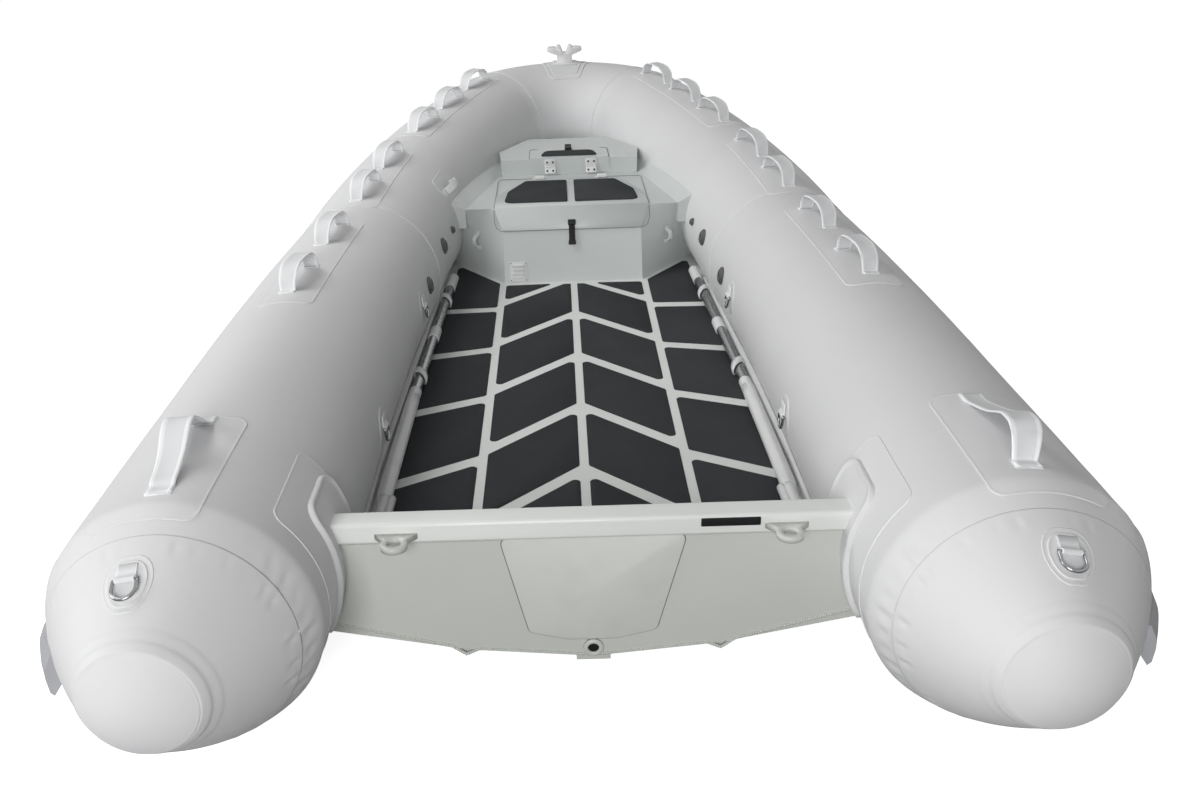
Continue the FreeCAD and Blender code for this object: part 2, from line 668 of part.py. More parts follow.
def hull(side_room, bow_room):
    """The vee bottom with its spray strakes, closed up to the deck and cut by the tubes."""
    keel = size("keel_height")
    under = size("deck_top - deck_thick")
    bilge = (size("bilge_half"), size("bilge_height"))
    chine = (size("chine_half"), size("chine_height"))
    top = (size("chine_half"), under)
    aft = size("transom_at + transom_thick")
    straight = Part.Face(hull_section(aft, keel, bilge, chine, top))
    run = size("straight_hull")
    wing = size("wing_chine_half")
    fore = [hull_section(aft + run, keel, bilge, chine, top),
            hull_section(size("wing_at + wing_hull"), keel + size("wing_keel_up"),
                         (bilge[0] * 0.88, bilge[1] + size("wing_bilge_up")),
                         (wing, size("wing_chine_height")), (wing, under))]
    for tag in ("fore", "bow", "stem"):
        half = size(tag + "_chine_half")
        fore.append(hull_section(size(tag + "_at"), size(tag + "_keel"),
                                 (size(tag + "_bilge_half"), size(tag + "_bilge")),
                                 (half, size(tag + "_chine")), (half, size(tag + "_top"))))
    half = doc.addObject("Part::Feature", "hull_half")
    bow = Part.makeLoft(fore, True, True)
    half.Shape = straight.extrude(Vector(0, run, 0)).fuse(bow).removeSplitter()
    shape = fuse("hull_whole", half, mirror("hull_half", half))
    sprays = []
    for side in (1, -1):
        spray = doc.addObject("Part::Feature", "spray_%s" % ("starboard" if side > 0 else "port"))
        y = STERN + aft
        middle = Vector(side * bilge[0], y, bilge[1] - size("spray_depth"))
        root = size("spray_half")
        slope_in = (bilge[1] - keel) / bilge[0]
        slope_out = (chine[1] - bilge[1]) / (chine[0] - bilge[0])
        ends = [Vector(side * (bilge[0] - root), y, bilge[1] - slope_in * root + 2), middle,
                Vector(side * (bilge[0] + root), y, bilge[1] + slope_out * root + 2)]
        spray.Shape = Part.Face(Part.makePolygon(ends + ends[:1])).extrude(Vector(0, run, 0))
        sprays.append(spray)
    shape = fuse("hull_sprays", shape, *sprays)
    port_room = mirror("side_room_port", side_room)
    shape = cut("hull_bottom", shape, side_room, port_room, bow_room)
    part(shape, "hull_bottom")
    strip = box("keel_strip_box", "-keel_strip_half", "stern_at + transom_at + transom_thick", "0",
                "keel_strip_half * 2", "straight_hull", "keel_height + bilge_height")
    part(cut("keel_strip", strip, shape), "keel_strip")
    return shape, port_room


def transom(side_room, port_room):
    """The transom plate under its square tube, with the motor pad and towing eyes."""
    shell = (("0", "keel_height"), ("bilge_half", "bilge_height"), ("chine_half", "chine_height"),
             ("chine_half", "beam_top - beam_high"), ("-chine_half", "beam_top - beam_high"),
             ("-chine_half", "chine_height"), ("-bilge_half", "bilge_height"))
    plate = slab("transom_plate", "XZ_Plane", shell, "transom_thick",
                 "-(stern_at + transom_at + transom_thick)")
    drain_place = Placement(Vector(0, STERN + size("transom_at") - 30, size("keel_height + 19")),
                            Rotation(Vector(1, 0, 0), -90))
    bore = cylinder("drain_bore", drain_place, "drain_radius", "60")
    plate = cut("transom_plate", plate, side_room, port_room, bore)
    part(plate, "transom_plate")
    ring = cylinder("drain_ring", drain_place * Placement(Vector(0, 0, 24), Rotation()),
                    "drain_radius * 1.6", "drain_radius * 0.6")
    part(cut("drain_boss", ring, bore), "drain_boss")
    beam = slab("transom_beam", "YZ_Plane",
                (("stern_at + transom_at - beam_back", "beam_top - beam_high"),
                 ("stern_at + transom_at - beam_back + beam_deep", "beam_top - beam_high"),
                 ("stern_at + transom_at - beam_back + beam_deep", "beam_top"),
                 ("stern_at + transom_at - beam_back", "beam_top")),
                "(beam_half + 30) * 2", both=True,
                rounds=((0, "beam_round"), (1, "beam_round"), (2, "beam_round"), (3, "beam_round")))
    part(cut("transom_beam", beam, side_room, port_room), "transom_beam")
    pad = slab("motor_pad", "XZ_Plane",
               (("-pad_top_half", "beam_top - beam_high"), ("-pad_knee_half", "pad_knee"),
                ("-pad_foot_half", "pad_foot"), ("pad_foot_half", "pad_foot"),
                ("pad_knee_half", "pad_knee"), ("pad_top_half", "beam_top - beam_high")),
               "pad_plate", "-(stern_at + transom_at)",
               rounds=[(corner, "pad_corner") for corner in (1, 2, 3, 4)])
    part(pad, "motor_pad")
    for side, label in ((1, "towing_eye_starboard"), (-1, "towing_eye_port")):
        part(towing_eye(label, side), label)


def towing_eye(label, side):
    """A thick plate on the beam's aft face that ends in a round eye."""
    z = "beam_top - beam_high * 0.72"
    middle = "%d * eye_out" % side
    root = "stern_at + transom_at - beam_back"
    plate = slab(label, "XY_Plane",
                 ((middle + " - 38", root), (middle + " - 24", root + " - 8"),
                  (middle + " - 20", root + " - eye_back - 20"),
                  (middle + " + 20", root + " - eye_back - 20"),
                  (middle + " + 24", root + " - 8"), (middle + " + 38", root)),
                 "eye_thick", z, rounds=((2, "17"), (3, "17")))
    place = Placement(Vector(side * size("eye_out"), STERN + size("transom_at - beam_back - eye_back"),
                             size(z) - 10), Rotation())
    return cut(label, plate, cylinder(label + "_bore", place, "eye_hole", "eye_thick + 20"))


def deck(side_room, port_room, bow_room):
    """The deck plate and the foam pads in their columns of chevrons."""
    aft = "stern_at + transom_at + transom_thick"
    riser = "stern_at + riser_at"
    wing = "stern_at + wing_at"
    plate = slab("deck_floor", "XY_Plane",
                 (("-deck_half", aft), ("deck_half", aft), ("deck_half", riser),
                  ("wing_half + 40", wing), ("wing_half + 40", wing + " + 20"),
                  ("-wing_half - 40", wing + " + 20"), ("-wing_half - 40", wing),
                  ("-deck_half", riser)), "deck_thick", "deck_top - deck_thick")
    part(cut("deck_floor", plate, side_room, port_room, bow_room), "deck_floor")
    pads = []
    for column, strips in ((centre_column(), chevrons()), (side_column(), side_strips())):
        for number, plan in enumerate(between_strips(column, strips)):
            pads.append(deck_pad("deck_pad_%d_%d" % (len(pads), number), plan))
    part(group("deck_pads", pads + [mirror("port_%s" % pad.Name, pad) for pad in pads]), "deck_pads")


def deck_pad(name, plan):
    """One foam pad, with each corner rounded that has room for it."""
    points = [("%.3f" % x, "%.3f" % y) for x, y in plan]
    rounds = []
    for corner, (x, y) in enumerate(plan):
        ways = [Vector(plan[other][0] - x, plan[other][1] - y, 0)
                for other in (corner - 1, (corner + 1) % len(plan))]
        reach = size("pad_round") / math.tan(ways[0].getAngle(ways[1]) / 2)
        if 1 < reach < 0.45 * min(ways[0].Length, ways[1].Length):
            rounds.append((corner, "pad_round"))
    return slab(name, "XY_Plane", points, "pad_thick", "deck_top", rounds=rounds)


def centre_column():
    """Plan of the pads beside the centre plane, before the strips across it."""
    inner, outer = size("pad_gap / 2"), size("pad_column - pad_gap / 2")
    aft, fore = STERN + size("pad_aft"), STERN + size("riser_at - pad_gap * 0.7")
    return [(inner, aft), (outer, aft), (outer, fore), (inner, fore)]


def side_column():
    """Plan of the pads beside the tube, before the strips across it."""
    inner = size("pad_column + pad_gap / 2")
    aft, fore = STERN + size("pad_aft"), STERN + size("riser_at - pad_gap * 0.7")
    slope = size("(wing_at - riser_at) / (wing_half - riser_half)")
    edge, edge_fore = size("well_half - pad_edge"), size("well_half - pad_edge_fore")
    return [(inner, aft), (edge, aft), (edge, STERN + size("pad_first + pad_pitch")),
            (edge_fore, fore + (edge_fore - size("riser_half")) * slope),
            (inner, fore + (inner - size("riser_half")) * slope)]


def chevrons():
    """The strips across the centre pads: station on the centre plane and slope."""
    slope = -size("pad_fall / pad_column")
    return [(STERN + size("pad_first + %d * pad_pitch" % number), slope) for number in range(6)]


def side_strips():
    """The strips across the side pads, swept back most near the stern."""
    run = size("well_half - pad_column - pad_gap / 2")
    slopes = [-fall / run for _, fall in SIDE_STRIPS]
    return [(STERN + station - slope * size("pad_column"), slope)
            for (station, _), slope in zip(SIDE_STRIPS, slopes)]


def between_strips(column, strips):
    """The plans that are left of a column between strips of the pads' gap."""
    plans = []
    for number in range(len(strips) + 1):
        plan = column
        for which, sign in ((number - 1, 1), (number, -1)):
            if 0 <= which < len(strips):
                station, slope = strips[which]
                room = size("pad_gap / 2") * math.hypot(1, slope)
                plan = trimmed(plan, station + sign * room, slope, sign)
        if len(plan) > 2 and plan_area(plan) > 2500:
            plans.append(plan)
    return plans


def trimmed(plan, station, slope, sign):
    """The part of a plan ahead of a slanting line, or behind it where sign is -1."""
    kept = []
    depth = [sign * (y - station - slope * x) for x, y in plan]
    for number, (x, y) in enumerate(plan):
        after = (number + 1) % len(plan)
        if depth[number] >= 0:
            kept.append((x, y))
        if depth[number] * depth[after] < 0:
            share = depth[number] / (depth[number] - depth[after])
            kept.append((x + (plan[after][0] - x) * share, y + (plan[after][1] - y) * share))
    return kept


def plan_area(plan):
    """Area of a plan by its corners."""
    pairs = zip(plan, plan[1:] + plan[:1])
    return abs(sum(a[0] * b[1] - b[0] * a[1] for a, b in pairs)) / 2


def loft(name, low, high):
    """A block with ruled sides between two polygons with as many corners."""
    item = doc.addObject("Part::Feature", name)
    wires = [Part.makePolygon(ring + ring[:1]) for ring in (low, high)]
    item.Shape = Part.makeLoft(wires, True, True)
    return item


def locker_ring(z, centre, centre_at, wing, wing_at, fore):
    """Corners of the fuel locker's plan at one height."""
    y = STERN
    right = [Vector(centre, y + centre_at, z), Vector(wing, y + wing_at, z), Vector(wing, y + fore, z)]
    left = [Vector(-spot.x, spot.y, z) for spot in reversed(right)]
    return right + left


def below_lockers():
    """All the room under the lockers: the deck, and the hull's top as it rises to the bow."""
    y = "stern_at + "
    return slab("below_lockers", "YZ_Plane",
                ((y + "straight_hull", "-deck_top"), (y + "straight_hull", "deck_top"),
                 (y + "wing_at + 45", "deck_top"), (y + "fore_at", "fore_top"),
                 (y + "bow_at", "bow_top"), (y + "stem_at", "stem_top"),
                 (y + "stem_at + 340", "stem_top + 75"), (y + "stem_at + 340", "-deck_top")),
                "well_half * 3.4", both=True)


def fuel_locker(rooms, over, bow_block):
    """The stepped locker ahead of the deck: leaning riser, step and side flanges."""
    t = size("plate")
    riser = size("riser_half")
    deck_top = size("deck_top")
    step_top = size("step_top")
    fore = size("anchor_at")
    foot_at, edge_at = size("riser_at"), size("step_at")
    outer = loft("locker_outer",
                 locker_ring(deck_top, riser, foot_at, size("wing_half"), size("wing_at"), fore),
                 locker_ring(step_top, riser, edge_at, size("step_half"), edge_at + 1, fore))
    inner = loft("locker_inner",
                 locker_ring(deck_top - 1, riser - t, size("riser_at") + t, size("wing_half") - 90,
                             size("wing_at") - 40, fore - t),
                 locker_ring(step_top - t, riser - t, size("step_at") + t, size("step_half") - 70,
                             size("step_at") + t + 1, fore - t))
    flanges = [locker_flange(side) for side in (1, -1)]
    block = fuse("locker", outer, *flanges)
    block = cut("fuel_locker", block, inner, fuel_hole(), over, bow_block, *rooms)
    return part(block, "fuel_locker")


def locker_flange(side):
    """The plate that rises from the step's side edge to the tube, with the room under it."""
    aft, fore, low = size("step_at"), size("anchor_at"), size("step_top") - 60
    start = Vector(size("step_half") - 12, aft, 0)
    end = Vector(size("step_fore_half"), fore, 0)
    outward = (end - start).cross(Vector(0, 0, 1)).normalize()
    run = (end - start) * (1 + 200 / (fore - aft)) + start
    wide = size("well_half - 2")
    plan = [start, Vector(wide, aft, 0), Vector(wide, fore, 0), Vector(wide - 90, run.y, 0), run]
    rise = size("flange_slope")
    base = [Vector(side * spot.x, STERN + spot.y, low) for spot in plan]
    top = [Vector(side * spot.x, STERN + spot.y, size("step_top") + rise * (spot - start).dot(outward))
           for spot in plan]
    return loft("flange_%s" % ("starboard" if side > 0 else "port"), base, top)


def fuel_lid_plan(shrink):
    """Corners of the fuel lid's plan, shrunk by a lap."""
    lap = " - " + shrink
    wide = "fuel_lid_half" + lap
    fore = "fuel_lid_fore_half" + lap
    aft = "stern_at + riser_at - 60"
    knee = "stern_at + step_at + 120"
    end = "stern_at + fuel_hinge_at - 11" + lap
    return (("-(%s)" % wide, aft), (wide, aft), (wide, knee), (fore, end),
            ("-(%s)" % fore, end), ("-(%s)" % wide, knee))


def fuel_hole():
    """The room under the fuel lid through the step and the riser."""
    plan = slab("fuel_hole_plan", "XY_Plane", fuel_lid_plan("lid_lap"), "200",
                "step_top - fuel_lid_skirt + lid_lap",
                rounds=((3, "fuel_lid_round - lid_lap"), (4, "fuel_lid_round - lid_lap")))
    return plan


def fuel_lid():
    """The bent lid: a top on the step and a skirt down the riser, with pads and latch."""
    lean = "(step_at - riser_at) / (step_top - deck_top)"
    foot = "stern_at + step_at - fuel_lid_skirt * " + lean
    edge = "stern_at + step_at"
    up = "step_top + lid_gap"
    side = (("stern_at + fuel_hinge_at - 11", up), ("stern_at + fuel_hinge_at - 11", up + " + plate"),
            (edge + " - plate", up + " + plate"),
            (foot + " - lid_gap - plate", "step_top - fuel_lid_skirt"),
            (foot + " - lid_gap", "step_top - fuel_lid_skirt"), (edge + " - lid_gap", up))
    bent = slab("fuel_lid_side", "YZ_Plane", side, "fuel_lid_half * 2 + 10", both=True)
    plan = slab("fuel_lid_plan", "XY_Plane", fuel_lid_plan("0"), "200", "step_top - 120",
                rounds=((3, "fuel_lid_round"), (4, "fuel_lid_round")))
    front = slab("fuel_lid_front", "XZ_Plane",
                 (("-fuel_lid_half + 22", "step_top - fuel_lid_skirt"),
                  ("fuel_lid_half - 22", "step_top - fuel_lid_skirt"),
                  ("fuel_lid_half", "step_top"), ("fuel_lid_half", "step_top + 40"),
                  ("-fuel_lid_half", "step_top + 40"), ("-fuel_lid_half", "step_top")), "900",
                 "-(stern_at + fuel_hinge_at + 60)", rounds=((0, "24"), (1, "24")))
    lid = common("fuel_lid", bent, plan, front)
    leaves = [box("fuel_leaf_%d" % n, "%d * fuel_hinge_half - hinge_width / 2" % s,
                  "stern_at + fuel_hinge_at - leaf", up + " + plate", "hinge_width", "leaf - 6.5",
                  "leaf_thick")
              for n, s in enumerate((1, -1))]
    part(fuse("fuel_lid_leaves", lid, *leaves), "fuel_lid")
    pads = []
    for side, tag in ((1, "starboard"), (-1, "port")):
        sign = "" if side > 0 else "-"
        pads.append(slab("fuel_pad_" + tag, "XY_Plane",
                         ((sign + "12", "stern_at + step_at + 42"),
                          (sign + "(fuel_lid_half - 29)", "stern_at + step_at + 42"),
                          (sign + "(fuel_lid_half - 36)", "stern_at + step_at + 170"),
                          (sign + "(fuel_lid_fore_half - 15)", "stern_at + fuel_hinge_at - 62"),
                          (sign + "12", "stern_at + fuel_hinge_at - 62")), "pad_thick", up + " + plate",
                         rounds=((0, "8"), (1, "24"), (2, "90"), (3, "16"), (4, "8"))))
    part(group("fuel_lid_pads", pads), "fuel_lid_pads")
    slope = math.degrees(math.atan(size(lean)))
    strap = doc.addObject("Part::Box", "fuel_latch_strap")
    bind(strap, Length="latch_width", Width="latch_thick", Height="latch_length")
    top = size("step_top - 41")
    y = STERN + size("step_at") - (size("step_top") - top) * size(lean)
    off = size("lid_gap * 2 + plate + latch_thick")
    strap.Placement = Placement(Vector(0, y, top), Rotation(Vector(1, 0, 0), -slope)) * Placement(
        Vector(-size("latch_width") / 2, -off, -size("latch_length")), Rotation())
    part(strap, "fuel_latch")
    hinges = [hinge_flat("fuel_hinge_%d" % n, s) for n, s in enumerate((1, -1))]
    part(group("fuel_hinges", hinges), "fuel_hinges")


def hinge_flat(name, side):
    """A butt hinge on the step: the fixed leaf with its barrel."""
    x = "%d * fuel_hinge_half - hinge_width / 2" % side
    leaf = box(name + "_leaf", x, "stern_at + fuel_hinge_at", "step_top", "hinge_width", "leaf",
               "leaf_thick")
    place = Placement(Vector(side * size("fuel_hinge_half") - size("hinge_width") / 2,
                             STERN + size("fuel_hinge_at"), size("step_top + knuckle_radius + 0.4")),
                      Rotation(Vector(0, 1, 0), 90))
    return fuse(name, leaf, cylinder(name + "_barrel", place, "knuckle_radius", "hinge_width"))


def bow_block_outline(name, low):
    """A block with the plan of the bow locker, wider than the room between the tubes ahead."""
    y = "stern_at + "
    return slab(name, "XY_Plane",
                (("-anchor_half", y + "anchor_at"), ("anchor_half", y + "anchor_at"),
                 ("anchor_half + 16", y + "anchor_at + 180"),
                 ("anchor_half + 70", y + "anchor_at + 260"),
                 ("anchor_half", y + "anchor_end - 60"), ("60", y + "anchor_end + 40"),
                 ("-60", y + "anchor_end + 40"), ("-anchor_half", y + "anchor_end - 60"),
                 ("-anchor_half - 70", y + "anchor_at + 260"),
                 ("-anchor_half - 16", y + "anchor_at + 180")),
                "anchor_top - (%s)" % low, low)


def anchor_locker(rooms, over, block):
    """The raised locker in the bow, hollow under its lid."""
    y = "stern_at + "
    hold = slab("anchor_hold", "XY_Plane",
                (("-anchor_half + 44", y + "anchor_at + plate"),
                 ("anchor_half - 44", y + "anchor_at + plate"),
                 ("anchor_lid_half", y + "anchor_at + anchor_lid_length + 130"),
                 ("-anchor_lid_half", y + "anchor_at + anchor_lid_length + 130")),
                "anchor_top - plate - 220", "220")
    hole = slab("anchor_hole", "XY_Plane", anchor_plan("lid_lap"), "90",
                "anchor_top - anchor_lid_skirt + lid_lap",
                rounds=((2, "anchor_lid_round - lid_lap"), (3, "anchor_lid_round - lid_lap")))
    block = cut("anchor_locker", block, hold, hole, over, *rooms)
    part(block, "anchor_locker")


def anchor_plan(shrink):
    """Corners of the anchor lid's plan, shrunk by a lap."""
    lap = " - " + shrink
    wide = "anchor_lid_half" + lap
    aft = "stern_at + anchor_at - 40"
    end = "stern_at + anchor_at + anchor_lid_length" + lap
    return (("-(%s)" % wide, aft), (wide, aft), (wide, end), ("-(%s)" % wide, end))


def anchor_lid():
    """The bow locker's bent lid, hinged on the riser, with its pad and latch."""
    up = "anchor_top + lid_gap"
    low = "anchor_top - anchor_lid_skirt"
    edge = "stern_at + anchor_at"
    side = ((edge + " + anchor_lid_length", up), (edge + " + anchor_lid_length", up + " + plate"),
            (edge + " - lid_gap - plate", up + " + plate"), (edge + " - lid_gap - plate", low),
            (edge + " - lid_gap", low), (edge + " - lid_gap", up))
    bent = slab("anchor_lid_side", "YZ_Plane", side, "anchor_lid_half * 2 + 10", both=True)
    plan = slab("anchor_lid_plan", "XY_Plane", anchor_plan("0"), "200", "anchor_top - 100",
                rounds=((2, "anchor_lid_round"), (3, "anchor_lid_round")))
    lid = common("anchor_lid", bent, plan)
    leaves = [box("anchor_leaf_%d" % n, "%d * anchor_hinge_half - hinge_width / 2" % s,
                  edge + " - lid_gap - plate - leaf_thick", low + " + 1", "hinge_width",
                  "leaf_thick", "leaf - 8") for n, s in enumerate((1, -1))]
    part(fuse("anchor_lid_leaves", lid, *leaves), "anchor_lid")
    pad = slab("anchor_lid_pad", "XY_Plane",
               (("-(anchor_lid_half - 38)", edge + " + 22"), ("anchor_lid_half - 38", edge + " + 22"),
                ("anchor_lid_half - 54", edge + " + 94"), ("-(anchor_lid_half - 54)", edge + " + 94")),
               "pad_thick", up + " + plate", rounds=((0, "10"), (1, "10"), (2, "30"), (3, "30")))
    part(pad, "anchor_lid_pad")
    part(box("anchor_latch", "-latch_width / 2", edge + " + anchor_lid_length - 36", up + " + plate",
             "latch_width", "64", "latch_thick"), "anchor_latch")
    hinges = []
    for number, side in enumerate((1, -1)):
        place = Placement(Vector(side * size("anchor_hinge_half") - size("hinge_width") / 2,
                                 STERN + size("anchor_at - knuckle_radius - 0.4"),
                                 size(low + " - knuckle_radius - 1")), Rotation(Vector(0, 1, 0), 90))
        leaf = box("anchor_fixed_leaf_%d" % number, "%d * anchor_hinge_half - hinge_width / 2" % side,
                   edge + " - leaf_thick", "step_top + 2", "hinge_width",
                   "leaf_thick", "anchor_top - anchor_lid_skirt - knuckle_radius - step_top - 2")
        barrel = cylinder("anchor_barrel_%d" % number, place, "knuckle_radius", "hinge_width")
        hinges.append(fuse("anchor_hinge_%d" % number, leaf, barrel))
    part(group("anchor_hinges", hinges), "anchor_hinges")


def arch(half, foot, height):
    """A steep-legged arch from foot to foot, as an edge of one smooth curve."""
    shares = ((1, 0), (0.86, 0.55), (0.55, 0.9), (0, 1), (-0.55, 0.9), (-0.86, 0.55), (-1, 0))
    curve = Part.BSplineCurve()
    curve.interpolate([Vector(half * x, 0, foot + (height - foot) * z) for x, z in shares])
    return curve.toShape()


def strap_loop(name, span, height, width, foot):
    """A webbing loop on its feet: an arched band, its foot plane at z = 0."""
    t = size("band")
    half = span / 2
    outer = arch(half, t, height)
    inner = arch(half - t, 0, height - t)
    right = [Vector(half, 0, t), Vector(half + foot, 0, t), Vector(half + foot, 0, 0),
             Vector(half - t, 0, 0)]
    left = [Vector(-half + t, 0, 0), Vector(-half - foot, 0, 0), Vector(-half - foot, 0, t),
            Vector(-half, 0, t)]
    edges = [outer] + [Part.LineSegment(a, b).toShape() for a, b in zip(right, right[1:])]
    edges += [inner] + [Part.LineSegment(a, b).toShape() for a, b in zip(left, left[1:])]
    shape = Part.Face(Part.Wire(edges)).extrude(Vector(0, width, 0))
    shape.translate(Vector(0, -width / 2, 0))
    item = doc.addObject("Part::Feature", name)
    item.Shape = shape
    return item


def standing_off(item, frame):
    """Put a fitting on its frame, well clear of the tube, and return the way inwards."""
    out = frame.Rotation.multVec(Vector(0, 0, 1))
    item.Placement = Placement(out * 12, Rotation()) * frame
    return -out


def handles(seats):
    """The grab handles along the crown of the tubes and the large stern handles."""
    for row, stations in HANDLE_STATIONS.items():
        loops = []
        for number, run in enumerate(stations):
            loop = strap_loop("loop_%s_%d" % (row, number), size("loop_span"), size("loop_height"),
                              size("loop_width"), size("loop_foot"))
            toe = Placement(Vector(), Rotation(Vector(0, 0, 1), size("loop_toe")))
            inward = standing_off(loop, skin_frame(run, size("loop_out")) * toe)
            loops.append(settle(loop, seats, inward, size("loop_rest")))
        row_group = group("handles_" + row, loops)
        part(row_group, "grab_handles_%s_starboard" % row)
        label = "grab_handles_%s_port" % row
        part(mirror(label, row_group), label)
    loop = strap_loop("stern_loop", size("stern_loop_span"), size("stern_loop_height"),
                      size("stern_loop_width"), size("stern_foot"))
    frame = skin_frame(STERN_HANDLE_STATION, size("stern_loop_out"))
    settle(loop, seats, standing_off(loop, frame), size("loop_rest"))
    part(group("stern_handles", [loop, mirror("stern_loop", loop)]), "stern_handles")


def ring_and_tab(name, place):
    """A D-ring with the webbing tab that holds it, tab flat on its patch."""
    radius = size("ring_radius")
    wire = size("ring_wire")
    leg = size("ring_leg")
    bow = Part.makeTorus(radius, wire, Vector(0, leg, 0), Vector(0, 0, 1), -180, 180, 180)
    bars = [Part.makeCylinder(wire, 2 * radius, Vector(-radius, 0, 0), Vector(1, 0, 0))]
    for x in (-radius, radius):
        bars.append(Part.makeCylinder(wire, leg, Vector(x, 0, 0), Vector(0, 1, 0)))
        bars.append(Part.makeSphere(wire, Vector(x, 0, 0)))
    ring = bow.fuse(bars).removeSplitter()
    ring.rotate(Vector(0, 0, 0), Vector(0, 0, 1), 180)
    ring.translate(Vector(0, 0, wire + 2))
    half = radius - wire - 1
    roll = Part.makeCylinder(wire + 2, 2 * half, Vector(-half, 0, wire + 2), Vector(1, 0, 0))
    tab = Part.makeBox(2 * half, 28, 3.5, Vector(-half, 0, 0)).fuse(roll)
    item = doc.addObject("Part::Feature", name)
    item.Shape = ring.fuse(tab)
    item.Placement = place
    return item


def rings_and_valves(end, seats):
    """D-rings on the tube ends and inside the tubes, and the inflation valves."""
    fall = size("taper_at + end_length")
    share = (size("taper_at") - STERN_RING_STATION) / fall
    station, radius, rise = end_ring(share)
    before, after = end_ring(share - 0.05), end_ring(share + 0.05)
    climb = Vector(0, before[0] - after[0], before[1] + before[2] - after[1] - after[2]).normalize()
    normal = Vector(1, 0, 0).cross(climb)
    spot = Vector(size("tube_spread"), STERN + station, RADIUS + radius + rise)
    frame = Placement(spot, Rotation(climb.cross(normal), climb, normal, "ZXY"))
    middle = Vector(size("tube_spread"), 0, RADIUS + rise)
    frame = Placement(Vector(), Rotation(Vector(0, 1, 0), size("ring_out")), middle) * frame
    ring = ring_and_tab("stern_ring", frame)
    settle(ring, [end], standing_off(ring, frame), size("loop_rest"))
    part(group("stern_rings", [ring, mirror("stern_ring", ring)]), "stern_rings")
    rings = []
    half_turn = Placement(Vector(), Rotation(Vector(0, 0, 1), 180))
    for number, (run, angle) in enumerate(INNER_RINGS):
        frame = skin_frame(run, angle) * half_turn
        ring = ring_and_tab("inner_ring_%d" % number, frame)
        rings.append(settle(ring, seats, standing_off(ring, frame), size("loop_rest")))
    rings.extend([mirror("inner_ring_%d" % number, ring) for number, ring in enumerate(rings)])
    part(group("inner_rings", rings), "inner_rings")
    valves = []
    for number, (run, angle, radius) in enumerate(VALVES):
        frame = skin_frame(run, angle)
        valve = cylinder("valve_%d" % number, frame, str(radius), "9")
        valves.append(settle(valve, seats, standing_off(valve, frame), size("loop_rest")))
    valves.extend([mirror("valve_%d" % number, valve) for number, valve in enumerate(valves)])
    part(group("air_valves", valves), "air_valves")


def carry_handle(seats):
    """The moulded handle inside the port bow quarter."""
    loop = strap_loop("carry_loop", size("carry_span"), size("carry_height"), size("carry_width"),
                      size("carry_width") - 2)
    settle(loop, seats, standing_off(loop, skin_frame(2243, -52)), size("loop_rest"))
    part(mirror("carry_handle", loop), "carry_handle")


def side_rails(rooms):
    """The ribbed rails along the deck's edges, cut to the tubes."""
    rails = []
    for side, tag in ((1, "starboard"), (-1, "port")):
        sign = "" if side > 0 else "-"
        aft = "stern_at + transom_at + transom_thick + 40"
        rails.append(slab("side_rail_" + tag, "XY_Plane",
                          ((sign + "(well_half + rail_in)", aft), (sign + "deck_half", aft),
                           (sign + "deck_half", "stern_at + riser_at - 60"),
                           (sign + "(well_half - rail_in_fore)", "stern_at + riser_at - 60"),
                           (sign + "(well_half + rail_in)", "stern_at + pad_first + pad_pitch")),
                          "rail_high", "deck_top"))
    part(cut("side_rails", group("rails", rails), *rooms), "side_rails")


def oars():
    """The oars stowed on the deck's edges, blades aft, with their holders."""
    holders = []
    radius = size("oar_radius")
    height = size("deck_top + pad_thick + oar_radius") + 1
    fore = Vector(size("well_half - oar_in_fore"), STERN + size("oar_fore"), height)
    aft = Vector(size("well_half - oar_in"), STERN + size("oar_sleeve"), height)
    tip = Vector(aft.x, STERN + size("oar_tip"), height)
    run = aft - fore
    shaft = Part.makeCylinder(radius, run.Length, fore, run)
    blade_run = tip - aft
    blade = Part.makeBox(2 * radius - 6, 2 * radius - 8, blade_run.Length + 20)
    blade.translate(Vector(-radius + 3, -radius + 4, -20))
    blade.Placement = Placement(aft, Rotation(Vector(0, 0, 1), blade_run)) * blade.Placement
    item = doc.addObject("Part::Feature", "oar_shape")
    item.Shape = shaft.fuse(blade).removeSplitter()
    part(item, "oar_starboard")
    part(mirror("oar_port", item), "oar_port")
    for side, tag in ((1, "starboard"), (-1, "port")):
        for number, share in enumerate((0.228, 0.538, 0.848)):
            station = size("oar_fore") - share * size("oar_fore - oar_sleeve")
            x = fore.x + (aft.x - fore.x) * share
            holder = box("oar_holder_%s_%d" % (tag, number), "%d * %.3f - 10" % (side, x),
                         "stern_at + %.3f" % station, "deck_top + pad_thick", "20", "30", "0.9")
            holders.append(holder)
    part(group("oar_holders", holders), "oar_holders")


def tie_loops(locker):
    """The two small loops on the riser's wings."""
    loop = strap_loop("tie_loop", size("tie_span"), size("tie_height"), size("tie_width"),
                      size("tie_width") - 4)
    facing = Vector(0.597, -0.752, -0.06).normalize()
    along = facing.cross(Vector(0.783, 0.622, 0)).normalize()
    spot = Vector(300, STERN + 2168, 213)
    frame = Placement(spot, Rotation(along, facing.cross(along), facing, "ZXY"))
    settle(loop, [locker], standing_off(loop, frame), size("loop_rest"))
    part(group("tie_loops", [loop, mirror("tie_loop", loop)]), "tie_loops")


